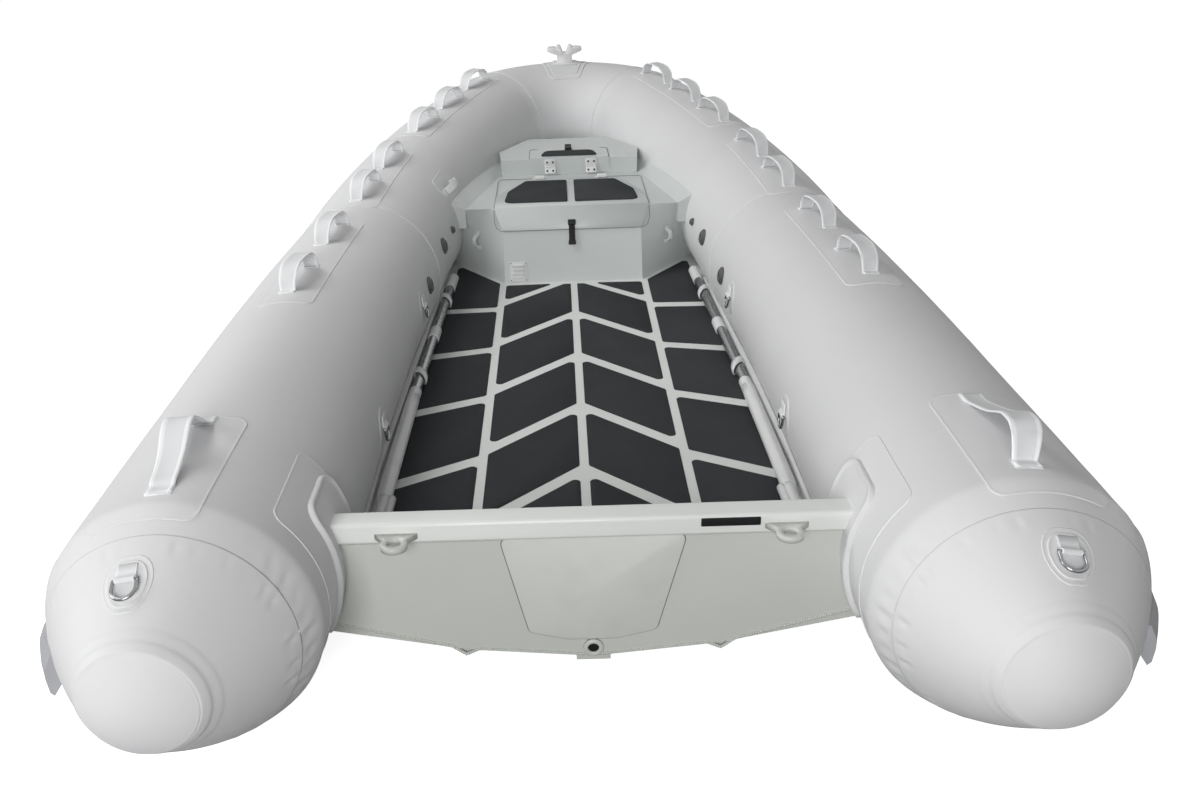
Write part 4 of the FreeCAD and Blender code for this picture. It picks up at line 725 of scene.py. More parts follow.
@dataclass(frozen=True)
class TubeLine:
    """The tube's axis and skin: a straight side, a gentle turn, the quarter and the bow."""

    radius: float = 0.215
    spread: float = 0.637
    straight: float = 0.730
    side_radius: float = 17.9
    side_turn: float = math.radians(3.5)
    quarter_radius: float = 5.1
    quarter_turn: float = math.radians(16.0)
    rise: float = math.radians(4.9)
    taper_at: float = 0.103
    cap_at: float = -0.113
    cap_radius: float = 0.084
    cap_rise: float = 0.020
    cap_bulge: float = 0.030
    mitre: float = 0.15
    bow_share: float = math.radians(48.0)

    @property
    def side_length(self) -> float:
        """Run from station zero to the seam of the bow section."""
        return self.straight + self.side_radius * self.side_turn

    @property
    def quarter_length(self) -> float:
        """Run of the bow quarter."""
        return self.quarter_radius * self.quarter_turn

    @property
    def bow_turn(self) -> float:
        """Heading where the bow's own arc starts."""
        return self.side_turn + self.quarter_turn

    @property
    def seam(self) -> tuple[float, float]:
        """Place of the axis at the bow section's seam, before the rise."""
        return (self.spread - self.side_radius * (1 - math.cos(self.side_turn)),
                self.straight + self.side_radius * math.sin(self.side_turn))

    @property
    def bow_radius(self) -> float:
        """Plan radius of the bow's arc."""
        x = self.seam[0] - self.quarter_radius * (math.cos(self.side_turn)
                                                  - math.cos(self.bow_turn))
        return x / math.cos(self.bow_turn)

    @property
    def length(self) -> float:
        """Run from station zero to the middle of the bow."""
        return (self.side_length + self.quarter_length
                + self.bow_radius * (math.pi / 2 - self.bow_turn))

    @property
    def bow_seam(self) -> float:
        """Run of the seam between the quarter and the bow panel."""
        return self.length - self.bow_radius * self.bow_share

    def plan(self, run: np.ndarray) -> tuple[np.ndarray, np.ndarray, np.ndarray]:
        """The starboard axis in plan.

        Args:
            run: runs along it.

        Returns:
            Offset, station and heading at each run.
        """
        run = np.asarray(run, float)
        x, y, heading = np.full(run.shape, self.spread), np.minimum(run, self.straight), 0.0
        start, turned = self.straight, 0.0
        for radius, most in ((self.side_radius, self.side_turn),
                             (self.quarter_radius, self.quarter_turn),
                             (self.bow_radius, math.inf)):
            part = np.clip((run - start) / radius, 0, most)
            heading = heading + part
            x = x - radius * (math.cos(turned) - np.cos(turned + part))
            y = y + radius * (np.sin(turned + part) - math.sin(turned))
            start, turned = start + radius * most, turned + most
        return x, y, heading

    def girth(self, run: np.ndarray) -> tuple[np.ndarray, np.ndarray]:
        """The tube's ring, which narrows in the rounded end.

        Args:
            run: runs along the axis.

        Returns:
            Radius and rise at each run.
        """
        share = np.clip((self.taper_at - run) / (self.taper_at - self.cap_at), 0, 1)
        radius = self.cap_radius + (self.radius - self.cap_radius) * (1 - share ** 1.21) ** 0.95
        return radius, self.cap_rise * share * share

    def raised(self, points: np.ndarray, mask: np.ndarray) -> np.ndarray:
        """Points or directions of the bow section turned up about its seam."""
        cos, sin = math.cos(self.rise), math.sin(self.rise)
        y = points[..., 1] * cos - points[..., 2] * sin
        z = points[..., 1] * sin + points[..., 2] * cos
        turned = np.stack([points[..., 0], y, z], -1)
        return np.where(mask[..., None], turned, points)

    def surface(self, run: np.ndarray, angle: np.ndarray, side: Side) -> np.ndarray:
        """Points of the skin.

        Args:
            run: distance along the axis from station zero, in metres.
            angle: angle from the crown, positive outboard, in radians.
            side: which tube.

        Returns:
            Points in the frame.
        """
        run, angle = np.broadcast_arrays(np.asarray(run, float), np.asarray(angle, float))
        x, y, turn = self.plan(run)
        radius, rise = self.girth(run)
        bow = run > self.side_length
        outboard = np.stack([np.cos(turn), np.sin(turn), np.zeros_like(turn)], -1)
        heading = np.stack([-np.sin(turn), np.cos(turn), np.zeros_like(turn)], -1)
        upward = np.zeros_like(outboard)
        upward[..., 2] = 1.0
        across = np.sin(angle)[..., None] * outboard + np.cos(angle)[..., None] * upward
        centre = np.stack([x, y - self.seam[1], rise], -1)
        near = np.clip(1 - np.abs(run - self.side_length) / self.mitre, 0, 1)
        slip = np.tan(self.rise / 2) * np.cos(angle) * radius * near
        slip = np.where(bow, slip, -slip)
        points = centre + radius[..., None] * across + heading * slip[..., None]
        points = self.raised(points, bow)
        points[..., 1] += STERN + self.seam[1]
        points[..., 2] += AXIS_HEIGHT
        points[..., 0] *= side.value
        return points

    def skin(self, run: object, angle: object, side: Side, lift: object) -> np.ndarray:
        """Points off the skin by a lift.

        Args:
            run: distance along the axis.
            angle: angle from the crown, in radians.
            side: which tube.
            lift: how far out of the skin.

        Returns:
            Points in the frame.
        """
        run, angle = np.broadcast_arrays(np.asarray(run, float), np.asarray(angle, float))
        step = 1e-4
        points = self.surface(run, angle, side)
        ahead = self.surface(run + step, angle, side) - self.surface(run - step, angle, side)
        around = self.surface(run, angle + step, side) - self.surface(run, angle - step, side)
        normal = unit(np.cross(ahead, around))
        outward = np.sum((points - self.surface(run, angle + math.pi, side)) * normal, -1)
        normal = normal * np.sign(outward)[..., None]
        return points + normal * np.asarray(lift, float)[..., None]

    def cloth(self, run: np.ndarray, angle: np.ndarray) -> np.ndarray:
        """Places on the cloth, in metres, one row a point."""
        return np.stack([run, angle * self.radius], -1).reshape(-1, 2)


LINE = TubeLine()


@dataclass(frozen=True)
class Wrinkle:
    """A short crease in the skin, running along or round the tube."""

    run: float
    angle: float
    along: float
    across: float
    depth: float
    lean: float = 0.0

    def lift(self, run: np.ndarray, angle: np.ndarray) -> np.ndarray:
        """How far the crease moves the skin at each place."""
        x = run - self.run
        y = (angle - math.radians(self.angle)) * LINE.radius - self.lean * x
        shape = np.exp(-(y / self.across) ** 2) - 0.55 * np.exp(-((y - 1.7 * self.across)
                                                                  / self.across) ** 2)
        return -self.depth * shape * np.exp(-(x / self.along) ** 2)


def spaced(marks: Sequence[float], fine: float, coarse: float, reach: float) -> np.ndarray:
    """Runs from the first mark to the last, close together near each mark.

    Args:
        marks: the runs where the spacing is fine.
        fine: the spacing at a mark.
        coarse: the spacing away from marks.
        reach: how far from a mark the spacing stays finer.

    Returns:
        The runs.
    """
    runs = [marks[0]]
    while runs[-1] < marks[-1] - 1e-6:
        gap = min(abs(runs[-1] - mark) for mark in marks)
        step = fine + (coarse - fine) * min(1.0, gap / reach)
        runs.append(min(runs[-1] + step, marks[-1]))
    return np.array(runs)


@dataclass(frozen=True)
class InflatedTubes:
    """The tubes as glued panels: sides, quarters, bow and rounded ends."""

    finishes: Finishes
    round_count: int = 200
    bow_count: int = 150
    end_count: int = 300
    coarse: float = 0.011
    side_start: float = 0.0465
    end_seam: float = 0.049
    side_crease: tuple = (0.067, -52.0, -9.2, 0.0078)
    end_crease: tuple = (0.031, -160.0, 15.3, 0.0068)
    long_creases: tuple = (Wrinkle(0.15, 31, 0.05, 0.011, 0.0016, 0.5),
                           Wrinkle(0.12, 52, 0.05, 0.012, 0.0016, -0.4))
    end_steps: tuple = ((-0.099, 0.0018), (-0.083, 0.0008))
    end_lap: float = 0.0007
    cap_rim: tuple = ((-0.004, -0.012), (0.0, -0.006), (0.0002, 0.0010), (-0.0007, 0.0026),
                      (-0.0026, 0.0035))

    def build(self) -> None:
        """Make all the panels."""
        for side in Side:
            self.side_panel(side)
            self.quarter_panel(side)
            self.rounded_end(side)
        self.bow_panel()

    def panel(self, name: str, node: str, side: Side, runs: np.ndarray,
              wrinkles: Sequence[Wrinkle] = (), lap: float = 0.0) -> None:
        """One panel of tube fabric between two runs.

        Args:
            name: the piece's name.
            node: the node that it stands for.
            side: which tube.
            runs: the runs of its rings.
            wrinkles: creases of its skin.
            lap: lift at its aft edge, where it laps the panel behind.
        """
        angles = full_turn(self.round_count, -math.pi)
        run, angle = np.meshgrid(runs, angles, indexing="ij")
        lift = self.unevenness(run, angle) + lap * np.exp(-((run - runs[0]) / 0.018) ** 2)
        for wrinkle in wrinkles:
            lift = lift + wrinkle.lift(run, angle)
        rim = LINE.skin(np.full(len(angles), runs[0] + 0.0002), angles, side, -0.0012)
        verts = np.concatenate([rim, LINE.skin(run, angle, side, lift).reshape(-1, 3)])
        uv = LINE.cloth(run, angle)
        faces = grid_faces(len(runs) + 1, len(angles), True, flip=side is Side.STARBOARD)
        add_piece(f"{name}_{side.tag}", verts, faces, self.finishes.fabric, Slot.TUBE,
                  np.concatenate([uv[:len(angles)], uv]), replaces=[f"{node}_{side.tag}"])

    @staticmethod
    def unevenness(run: np.ndarray, angle: np.ndarray) -> np.ndarray:
        """The slight waviness of inflated fabric."""
        slow = np.sin(run * 9.1 + 2.0 * np.sin(angle)) * np.cos(angle * 2 + run * 2.7)
        quick = np.sin(run * 31.0 + angle * 3.0) * np.sin(angle * 5.0 - run * 11.0)
        return 0.00035 * slow + 0.00012 * quick

    def side_panel(self, side: Side) -> None:
        """The long side panel with its creases at the stern seam."""
        run, angle, step, across = self.side_crease
        creases = [Wrinkle(run, angle + step * n, 0.012 + 0.004 * math.sin(n * 2.0), across,
                           0.0022 + 0.0010 * math.sin(n * 1.9)) for n in range(9)]
        runs = spaced((self.side_start, 0.46, LINE.side_length), 0.0035, self.coarse, 0.12)
        self.panel("side_panel", "tube_main", side, runs, (*creases, *self.long_creases))

    def quarter_panel(self, side: Side) -> None:
        """The bow quarter's panel."""
        runs = spaced((LINE.side_length + 0.0002, LINE.bow_seam + 0.004), 0.004, self.coarse, 0.1)
        self.panel("quarter_panel", "bow_quarter", side, runs, lap=0.0008)

    def bow_panel(self) -> None:
        """The bow's panel from one quarter to the other."""
        half = spaced((LINE.bow_seam, LINE.length), 0.004, self.coarse, 0.1)
        angles = full_turn(self.bow_count, -math.pi)
        run, angle = np.meshgrid(half, angles, indexing="ij")
        right = LINE.skin(run, angle, Side.STARBOARD, self.unevenness(run, angle))
        points = np.concatenate([right, right[::-1][1:] * np.array([-1.0, 1.0, 1.0])])
        uv = LINE.cloth(run, angle).reshape(*run.shape, 2)
        uv = np.concatenate([uv, uv[::-1][1:]]).reshape(-1, 2)
        faces = grid_faces(len(points), len(angles), True, flip=True)
        add_piece("bow_panel", points.reshape(-1, 3), faces, self.finishes.fabric, Slot.TUBE,
                  uv, replaces=["bow_center"])

    def rounded_end(self, side: Side) -> None:
        """The rounded end: a cone that laps the side panel, rings and the glued cap.

        Args:
            side: which tube.
        """
        count = self.end_count
        runs = np.concatenate([[LINE.cap_at], np.linspace(LINE.cap_at, self.end_seam, 70)[1:]])
        angles = full_turn(count, -math.pi)
        run, angle = np.meshgrid(runs, angles, indexing="ij")
        lift = np.full(run.shape, self.end_lap)
        place, first, step, across = self.end_crease
        for number in range(22):
            lean = first + number * step + 5 * math.sin(number * 2.4)
            deep = 0.0026 if lean < -50 else 0.0009
            deep *= 0.4 + 0.6 * math.sin(number * 1.7) ** 2
            lift += Wrinkle(place, lean, 0.010, across, deep).lift(run, angle)
        for place, rise in self.end_steps:
            lift += rise / (1 + np.exp(np.clip((run - place) / 0.0008, -60, 60)))
        cone = LINE.skin(run, angle, side, lift)
        edge = LINE.skin(np.full(count, runs[-1] + 0.0002), angles, side, -0.0010)
        faces = grid_faces(len(runs) + 1, count, True, flip=side is Side.STARBOARD)
        faces.append(tuple(range(count)))
        verts, more = self.end_cap(side)
        faces += [tuple(n + cone.size // 3 + count for n in face) for face in more]
        verts = np.concatenate([cone.reshape(-1, 3), edge, verts])
        piece = add_piece("rounded_end_" + side.tag, verts, faces, self.finishes.fabric,
                          Slot.TUBE, verts[:, ::2], replaces=["tube_end_" + side.tag])
        mend_normals(piece, 2e-5)

    def end_cap(self, side: Side) -> Form:
        """The glued cap's domed disc."""
        cap, bulge = LINE.cap_radius + 0.0012, LINE.cap_bulge - 0.0045
        shoulder, top = self.cap_rim[-1]
        profile = [(cap + out, height) for out, height in self.cap_rim]
        profile += [((cap + shoulder) * share, top + bulge * (1 - share ** 2))
                    for share in np.linspace(0.97, 0.02, 22)]
        seat = plane_seat(at(side.value * LINE.spread, LINE.cap_at, LINE.cap_rise - 0.002),
                          (1, 0, 0), (0, -1, 0.02))
        return turned_form(profile, seat, 96)


@dataclass(frozen=True)
class Seat:
    """A place on a surface: x forward, y outboard and z out of the surface."""

    origin: np.ndarray
    forward: np.ndarray
    outboard: np.ndarray
    out: np.ndarray

    def put(self, points: np.ndarray) -> np.ndarray:
        """Local points in the frame."""
        points = np.asarray(points, float)
        return (self.origin + points[..., :1] * self.forward + points[..., 1:2] * self.outboard
                + points[..., 2:3] * self.out)

    def turned(self, degrees: float) -> "Seat":
        """The same seat turned about its own outward axis, forward towards outboard."""
        cos, sin = math.cos(math.radians(degrees)), math.sin(math.radians(degrees))
        return Seat(self.origin, self.forward * cos + self.outboard * sin,
                    self.outboard * cos - self.forward * sin, self.out)


def skin_seat(run: float, angle: float, side: Side, lift: float = 0.0) -> Seat:
    """The seat on the tube's skin.

    Args:
        run: its run along the tube.
        angle: its angle from the crown, in degrees.
        side: which tube.
        lift: how far out of the skin.

    Returns:
        The seat.
    """
    lean = math.radians(angle)
    origin = LINE.skin(run, lean, side, lift)
    forward = unit(LINE.skin(run + 1e-3, lean, side, lift) - origin)
    out = unit(LINE.skin(run, lean, side, lift + 1e-3) - origin)
    return Seat(origin, forward, np.cross(forward, out) * side.value, out)


class Repeater(Graph):
    """A Geometry Nodes tree that sets one small form at many points."""

    def __init__(self, name: str, numbers: dict[str, float]) -> None:
        """Start a tree.

        Args:
            name: the tree's name.
            numbers: its named inputs.
        """
        super().__init__(bpy.data.node_groups.new(name, "GeometryNodeTree"))
        self.numbers = numbers
        sockets = self.tree.interface
        sockets.new_socket("Geometry", in_out="INPUT", socket_type="NodeSocketGeometry")
        for label in numbers:
            sockets.new_socket(label, in_out="INPUT", socket_type="NodeSocketFloat")
        sockets.new_socket("Geometry", in_out="OUTPUT", socket_type="NodeSocketGeometry")
        self.given = self.node("NodeGroupInput", {}, {}).outputs

    def close(self, points: bpy.types.NodeSocket, form: bpy.types.NodeSocket,
              facing: bpy.types.NodeSocket, axis: str, material: bpy.types.Material) -> None:
        """Set a form at points, and end the tree in realized instances with a material.

        Args:
            points: where the forms go.
            form: the small form.
            facing: the direction of each.
            axis: the form's axis that faces it.
            material: the finish.
        """
        turn = self.node("FunctionNodeAlignRotationToVector", {"axis": axis}, {"Vector": facing})
        placed = self.node("GeometryNodeInstanceOnPoints", {},
                           {"Points": points, "Instance": form, "Rotation": turn.outputs[0]})
        real = self.node("GeometryNodeRealizeInstances", {}, {0: placed.outputs[0]})
        dress = self.node("GeometryNodeSetMaterial", {},
                          {0: real.outputs[0], "Material": material})
        smooth = self.node("GeometryNodeSetShadeSmooth", {}, {0: dress.outputs[0]})
        self.node("NodeGroupOutput", {}, {0: smooth.outputs[0]})

    def piece(self, name: str, verts: Sequence, edges: Sequence, slot: Slot, body: Body,
              facing: Optional[Sequence] = None) -> None:
        """Run the tree on points or paths and keep its plain mesh.

        Args:
            name: the piece's name.
            verts: the points.
            edges: the runs between them.
            slot: the record's slot of its finish.
            body: the body that carries it.
            facing: a direction for each point.
        """
        mesh = bpy.data.meshes.new(name)
        mesh.from_pydata([tuple(v) for v in verts], edges, [])
        if facing is not None:
            layer = mesh.attributes.new("facing", "FLOAT_VECTOR", "POINT")
            layer.data.foreach_set("vector", np.asarray(facing, np.float32).ravel())
        piece = linked(name, mesh)
        modifier = piece.modifiers.new("repeat", "NODES")
        modifier.node_group = self.tree
        for item in self.tree.interface.items_tree:
            if item.in_out == "INPUT" and item.name in self.numbers:
                modifier[item.identifier] = self.numbers[item.name]
        applied(piece)
        settle_piece(piece, body, slot, ())


def weld_beads(name: str, paths: Sequence[np.ndarray], pitch: float, radius: float,
               material: bpy.types.Material, slot: Slot) -> None:
    """A weld laid as overlapping beads along paths.

    Args:
        name: the piece's name.
        paths: runs of points.
        pitch: the distance between beads.
        radius: a bead's radius.
        material: the finish.
        slot: the record's slot of its finish.
    """
    tree = Repeater("weld_beads", {"pitch": pitch, "radius": radius})
    curve = tree.node("GeometryNodeMeshToCurve", {}, {0: tree.given["Geometry"]})
    steps = tree.node("GeometryNodeResampleCurve", {"mode": "LENGTH"},
                      {"Curve": curve.outputs[0], "Length": tree.given["pitch"]})
    bead = tree.node("GeometryNodeMeshUVSphere", {},
                     {"Segments": 8, "Rings": 6, "Radius": tree.given["radius"]})
    flat = tree.node("GeometryNodeTransform", {},
                     {0: bead.outputs[0], "Scale": (0.72, 1.0, 1.0)})
    tangent = tree.node("GeometryNodeInputTangent", {}, {})
    tree.close(steps.outputs[0], flat.outputs[0], tangent.outputs[0], "X", material)
    verts, edges = [], []
    for path in paths:
        edges.extend((len(verts) + n, len(verts) + n + 1) for n in range(len(path) - 1))
        verts.extend(path)
    tree.piece(name, verts, edges, slot, Body.BOAT)


def screw_heads(name: str, spots: Sequence[tuple[Sequence, Sequence]], radius: float,
                material: bpy.types.Material, body: Body = Body.BOAT) -> None:
    """Low screw heads at places and facings.

    Args:
        name: the piece's name.
        spots: a place and a facing for each screw.
        radius: a head's radius.
        material: the finish.
        body: the body that carries them.
    """
    tree = Repeater("screw_heads", {"radius": radius, "height": radius * 0.5})
    crown = tree.node("ShaderNodeMath", {"operation": "MULTIPLY"},
                      {0: tree.given["radius"], 1: 0.74})
    head = tree.node("GeometryNodeMeshCone", {},
                     {"Vertices": 16, "Side Segments": 2, "Radius Top": crown.outputs[0],
                      "Radius Bottom": tree.given["radius"], "Depth": tree.given["height"]})
    facing = tree.node("GeometryNodeInputNamedAttribute", {"data_type": "FLOAT_VECTOR"},
                       {"Name": "facing"})
    tree.close(tree.given["Geometry"], head.outputs["Mesh"], facing.outputs[0], "Z", material)
    tree.piece(name, [spot[0] for spot in spots], [], Slot.METAL, body,
               [spot[1] for spot in spots])


# ---- sheets glued to the tubes ----


@dataclass(frozen=True)
class Sheet:
    """A sheet glued on the skin: a rectangle with rounded corners and a rolled edge."""

    run: float
    angle: float
    length: float
    width: float
    corner: float = 0.02
    lean: float = 0.0
    thick: float = 0.0011
    edge: float = 0.0017
    base: float = 0.0
    roll: float = 1.0
    spacing: float = 0.006

    def outline(self) -> np.ndarray:
        """Points round the sheet's edge in its own plane."""
        half, wide, corner = self.length / 2, self.width / 2, self.corner
        points = []
        centres = ((half - corner, wide - corner, 0), (-half + corner, wide - corner, 90),
                   (-half + corner, -wide + corner, 180), (half - corner, -wide + corner, 270))
        arc = max(5, int(corner * 1.57 / self.spacing) + 1)
        for x, y, start in centres:
            for turn in np.radians(np.linspace(start, start + 90, arc)):
                points.append((x + corner * math.cos(turn), y + corner * math.sin(turn)))
        points.append(points[0])
        filled = []
        for first, last in zip(points, points[1:]):
            gap = math.dist(first, last)
            steps = max(1, int(gap / (self.spacing * 2)))
            for step in range(steps):
                share = step / steps
                filled.append((first[0] + (last[0] - first[0]) * share,
                               first[1] + (last[1] - first[1]) * share))
        return np.array(filled)

    def form(self, side: Side) -> Form:
        """The sheet on one tube.

        Args:
            side: which tube.

        Returns:
            Its points, faces and places on the cloth.
        """
        rim = self.outline()
        short = min(self.length, self.width) / 2
        reach = np.array([self.length / 2 - short, self.width / 2 - short]).clip(0)
        inner = np.clip(rim, -reach, reach)
        away = rim - inner
        far = np.linalg.norm(away, axis=1)[:, None]
        steps = [(0.0, -0.0006), (0.0003, 0.55 * self.edge), (0.0012, self.edge),
                 (0.0026, self.edge), (0.0045, self.thick), (0.0075, self.thick)]
        rings, lifts = [], []
        for reach_in, lift in steps:
            rings.append(rim - away / far * min(reach_in * self.roll, short * 0.8))
            lifts.append(lift)
        body = rings[-1]
        for share in np.linspace(0, 1, 12)[1:]:
            rings.append(body * (1 - share) + inner * share)
            lifts.append(self.thick)
        flat = np.array(rings)
        lean = math.radians(self.lean)
        x = flat[..., 0] * math.cos(lean) - flat[..., 1] * math.sin(lean)
        y = flat[..., 0] * math.sin(lean) + flat[..., 1] * math.cos(lean)
        run = self.run + x
        angle = math.radians(self.angle) + y / LINE.radius
        lift = np.array(lifts)[:, None] + self.base + np.zeros_like(run)
        verts = LINE.skin(run, angle, side, lift).reshape(-1, 3)
        faces = grid_faces(len(rings), len(rim), True, flip=side is Side.PORT)
        return verts, faces, LINE.cloth(run, angle)


@dataclass(frozen=True)
class GluedSheets:
    """The patches under fittings, and the laps and tapes of the seams."""

    finishes: Finishes
    tube_sheets: tuple = (
        Sheet(1.3115, 2.5, 0.647, 0.128), Sheet(2.06, 2.5, 0.53, 0.128),
        Sheet(2.905, 2.5, 0.80, 0.126), Sheet(0.237, 9.0, 0.328, 0.190, 0.022),
        Sheet(-0.021, 8.0, 0.082, 0.106, 0.0408),
        Sheet(-0.021, 8.0, 0.066, 0.085, 0.0328, base=0.0009),
        Sheet(0.80, -91.0, 0.086, 0.086, 0.0428), Sheet(1.505, -86.0, 0.086, 0.086, 0.0428),
        Sheet(0.264, -82.0, 0.226, 0.300, 0.022),
        Sheet(0.296, -90.0, 0.150, 0.262, 0.034, thick=0.0062, edge=0.0092, base=0.0009,
              roll=2.3))
    carry_sheet: Sheet = Sheet(2.245, -52.0, 0.15, 0.088, 0.03)
    cleat_sheets: tuple = (
        Sheet(LINE.length, -11.5, 0.178, 0.161, 0.030, thick=0.0018, edge=0.0030),
        Sheet(LINE.length, -9.5, 0.136, 0.131, 0.024, thick=0.0018, edge=0.0030, base=0.0016))
    tapes: tuple = ((LINE.side_length, 0.021, 0.0010), (LINE.bow_seam, 0.024, 0.0010),
                    (-0.101, 0.006, 0.0006))

    def build(self) -> None:
        """Make every sheet and tape."""
        for side in Side:
            self.glue("handle_sheets_" + side.tag,
                      [sheet.form(side) for sheet in self.tube_sheets], DOUBLED)
            self.glue("seam_tapes_" + side.tag,
                      [self.tape(side, *row) for row in self.tapes], TOUCHING)
        forms = [self.carry_sheet.form(Side.PORT)]
        forms += [sheet.form(Side.STARBOARD) for sheet in self.cleat_sheets]
        self.glue("fitting_sheets", forms, DOUBLED)

    def glue(self, name: str, forms: Sequence[Form], merge: float) -> None:
        """Make a piece of patch fabric."""
        join_forms(name, forms, self.finishes.patch, Slot.TUBE, merge)

    @staticmethod
    def tape(side: Side, run: float, width: float, thick: float) -> Form:
        """A closed tape round the tube with rolled edges.

        Args:
            side: which tube.
            run: the run of its middle.
            width: its width.
            thick: its thickness.

        Returns:
            The form.
        """
        high = thick * 1.6
        edge = ((0.0, -0.0006), (0.0003, high * 0.5), (0.0012, high), (0.0026, high),
                (0.0045, thick))
        across = [step - width / 2 for step, _ in edge]
        across = np.array(across + [0.0] + [-x for x in reversed(across)])
        lift = [rise for _, rise in edge]
        lift = np.array(lift + [thick] + lift[::-1])
        angles = full_turn(150, -math.pi)
        place, angle = np.meshgrid(run + across, angles, indexing="ij")
        rise = np.repeat(lift[:, None], len(angles), 1)
        verts = LINE.skin(place, angle, side, rise).reshape(-1, 3)
        return verts, grid_faces(len(across), len(angles), True), LINE.cloth(place, angle)


# ---- handles, rings and other fittings ----


def eased_path(points: Sequence[Sequence[float]], count: int) -> np.ndarray:
    """A smooth run of points through a few given ones."""
    points = np.asarray(points, float)
    chord = np.r_[0, np.cumsum(np.sqrt(np.linalg.norm(np.diff(points, axis=0), axis=1)))]
    slopes = np.gradient(points, chord, axis=0)
    where = np.linspace(0, chord[-1], count)
    slot = np.clip(np.searchsorted(chord, where, "right") - 1, 0, len(points) - 2)
    span = (chord[slot + 1] - chord[slot])[:, None]
    share = (where - chord[slot])[:, None] / span
    first, last = points[slot], points[slot + 1]
    out, into = slopes[slot] * span, slopes[slot + 1] * span
    return ((2 * share ** 3 - 3 * share ** 2 + 1) * first + (share ** 3 - 2 * share ** 2 + share)
            * out + (3 * share ** 2 - 2 * share ** 3) * last + (share ** 3 - share ** 2) * into)


@dataclass(frozen=True)
class GrabHandle:
    """A webbing band arched over its two feet, with piping along both edges."""

    span: float = 0.172
    height: float = 0.052
    width: float = 0.036
    foot: float = 0.014
    toe: float = 5.0
    angle: float = 2.0
    thick: float = 0.0024
    shares: tuple = ((1.0, 0.0), (0.975, 0.16), (0.88, 0.56), (0.62, 0.88), (0.25, 0.99),
                     (-0.12, 1.0), (-0.5, 0.93), (-0.82, 0.62), (-0.965, 0.18), (-1.0, 0.0))

    def line(self) -> np.ndarray:
        """The middle of the band, forward and up, from one foot's end to the other's."""
        half, low = self.span / 2, self.thick * 0.75
        arch = [(half * x, low + (self.height - low - 0.001) * z) for x, z in self.shares]
        top = eased_path(arch, 44)
        fore = np.array([(half + self.foot, low), (half + self.foot * 0.5, low)])
        aft = np.array([(-half - self.foot * 0.5, low), (-half - self.foot, low)])
        return np.concatenate([fore, top, aft])

    def section(self) -> np.ndarray:
        """The band's cross section: across and up, flat between two round edges."""
        half, thick, bead = self.width / 2, self.thick / 2, self.thick * 1.05
        points = [(-half + 2.4 * bead, thick), (0.0, thick * 1.15), (half - 2.4 * bead, thick)]
        for turn in np.radians((115, 70, 25, -20, -65, -110)):
            points.append((half - bead + bead * math.cos(turn), bead * math.sin(turn)))
        points += [(half - 2.4 * bead, -thick), (0.0, -thick), (-half + 2.4 * bead, -thick)]
        for turn in np.radians((-70, -115, -160, -205, -250, -295)):
            points.append((-half + bead + bead * math.cos(turn), bead * math.sin(turn)))
        return np.array(points)

    def toed(self, along: object, across: object) -> tuple:
        """Places in the plane of the skin, turned by the toe."""
        toe = math.radians(self.toe)
        return (along * math.cos(toe) + across * math.sin(toe),
                across * math.cos(toe) - along * math.sin(toe))

    def band(self, run: float, side: Side) -> Form:
        """The band on one tube.

        Args:
            run: the run of its middle.
            side: which tube.

        Returns:
            Its points, faces and places on the cloth.
        """
        line, section = self.line(), self.section()
        slope = unit(np.gradient(line, axis=0))
        along = line[:, None, 0] - slope[:, None, 1] * section[None, :, 1] * np.sign(-slope[0][0])
        high = line[:, None, 1] + slope[:, None, 0] * section[None, :, 1] * np.sign(slope[0][0])
        across = np.repeat(section[None, :, 0], len(line), 0)
        reach = np.r_[0, np.cumsum(np.linalg.norm(np.diff(line, axis=0), axis=1))]
        uv = np.stack([np.repeat(reach[:, None], len(section), 1), across], -1)
        x, y = self.toed(along, across)
        verts = LINE.skin(run + x, math.radians(self.angle) + y / LINE.radius, side,
                          np.maximum(high, 0.0004))
        count = len(section)
        faces = grid_faces(len(line), count, True)
        faces.append(tuple(range(count))[::-1])
        faces.append(tuple(range((len(line) - 1) * count, len(line) * count)))
        return verts.reshape(-1, 3), faces, uv.reshape(-1, 2)

    def plate(self, end: int, run: float, side: Side) -> Form:
        """The thin foot plate with its raised lip, at the fore or the aft end."""
        x, y = self.toed(end * (self.span / 2 + self.foot * 0.42), 0.0)
        return Sheet(run + x, self.angle + math.degrees(y / LINE.radius), self.foot * 1.5,
                     self.width + 0.003, 0.0028, -self.toe, 0.0008, 0.0024).form(side)

    def forms(self, run: float, side: Side) -> list[Form]:
        """The band and its two foot plates."""
        return [self.band(run, side), self.plate(1, run, side), self.plate(-1, run, side)]


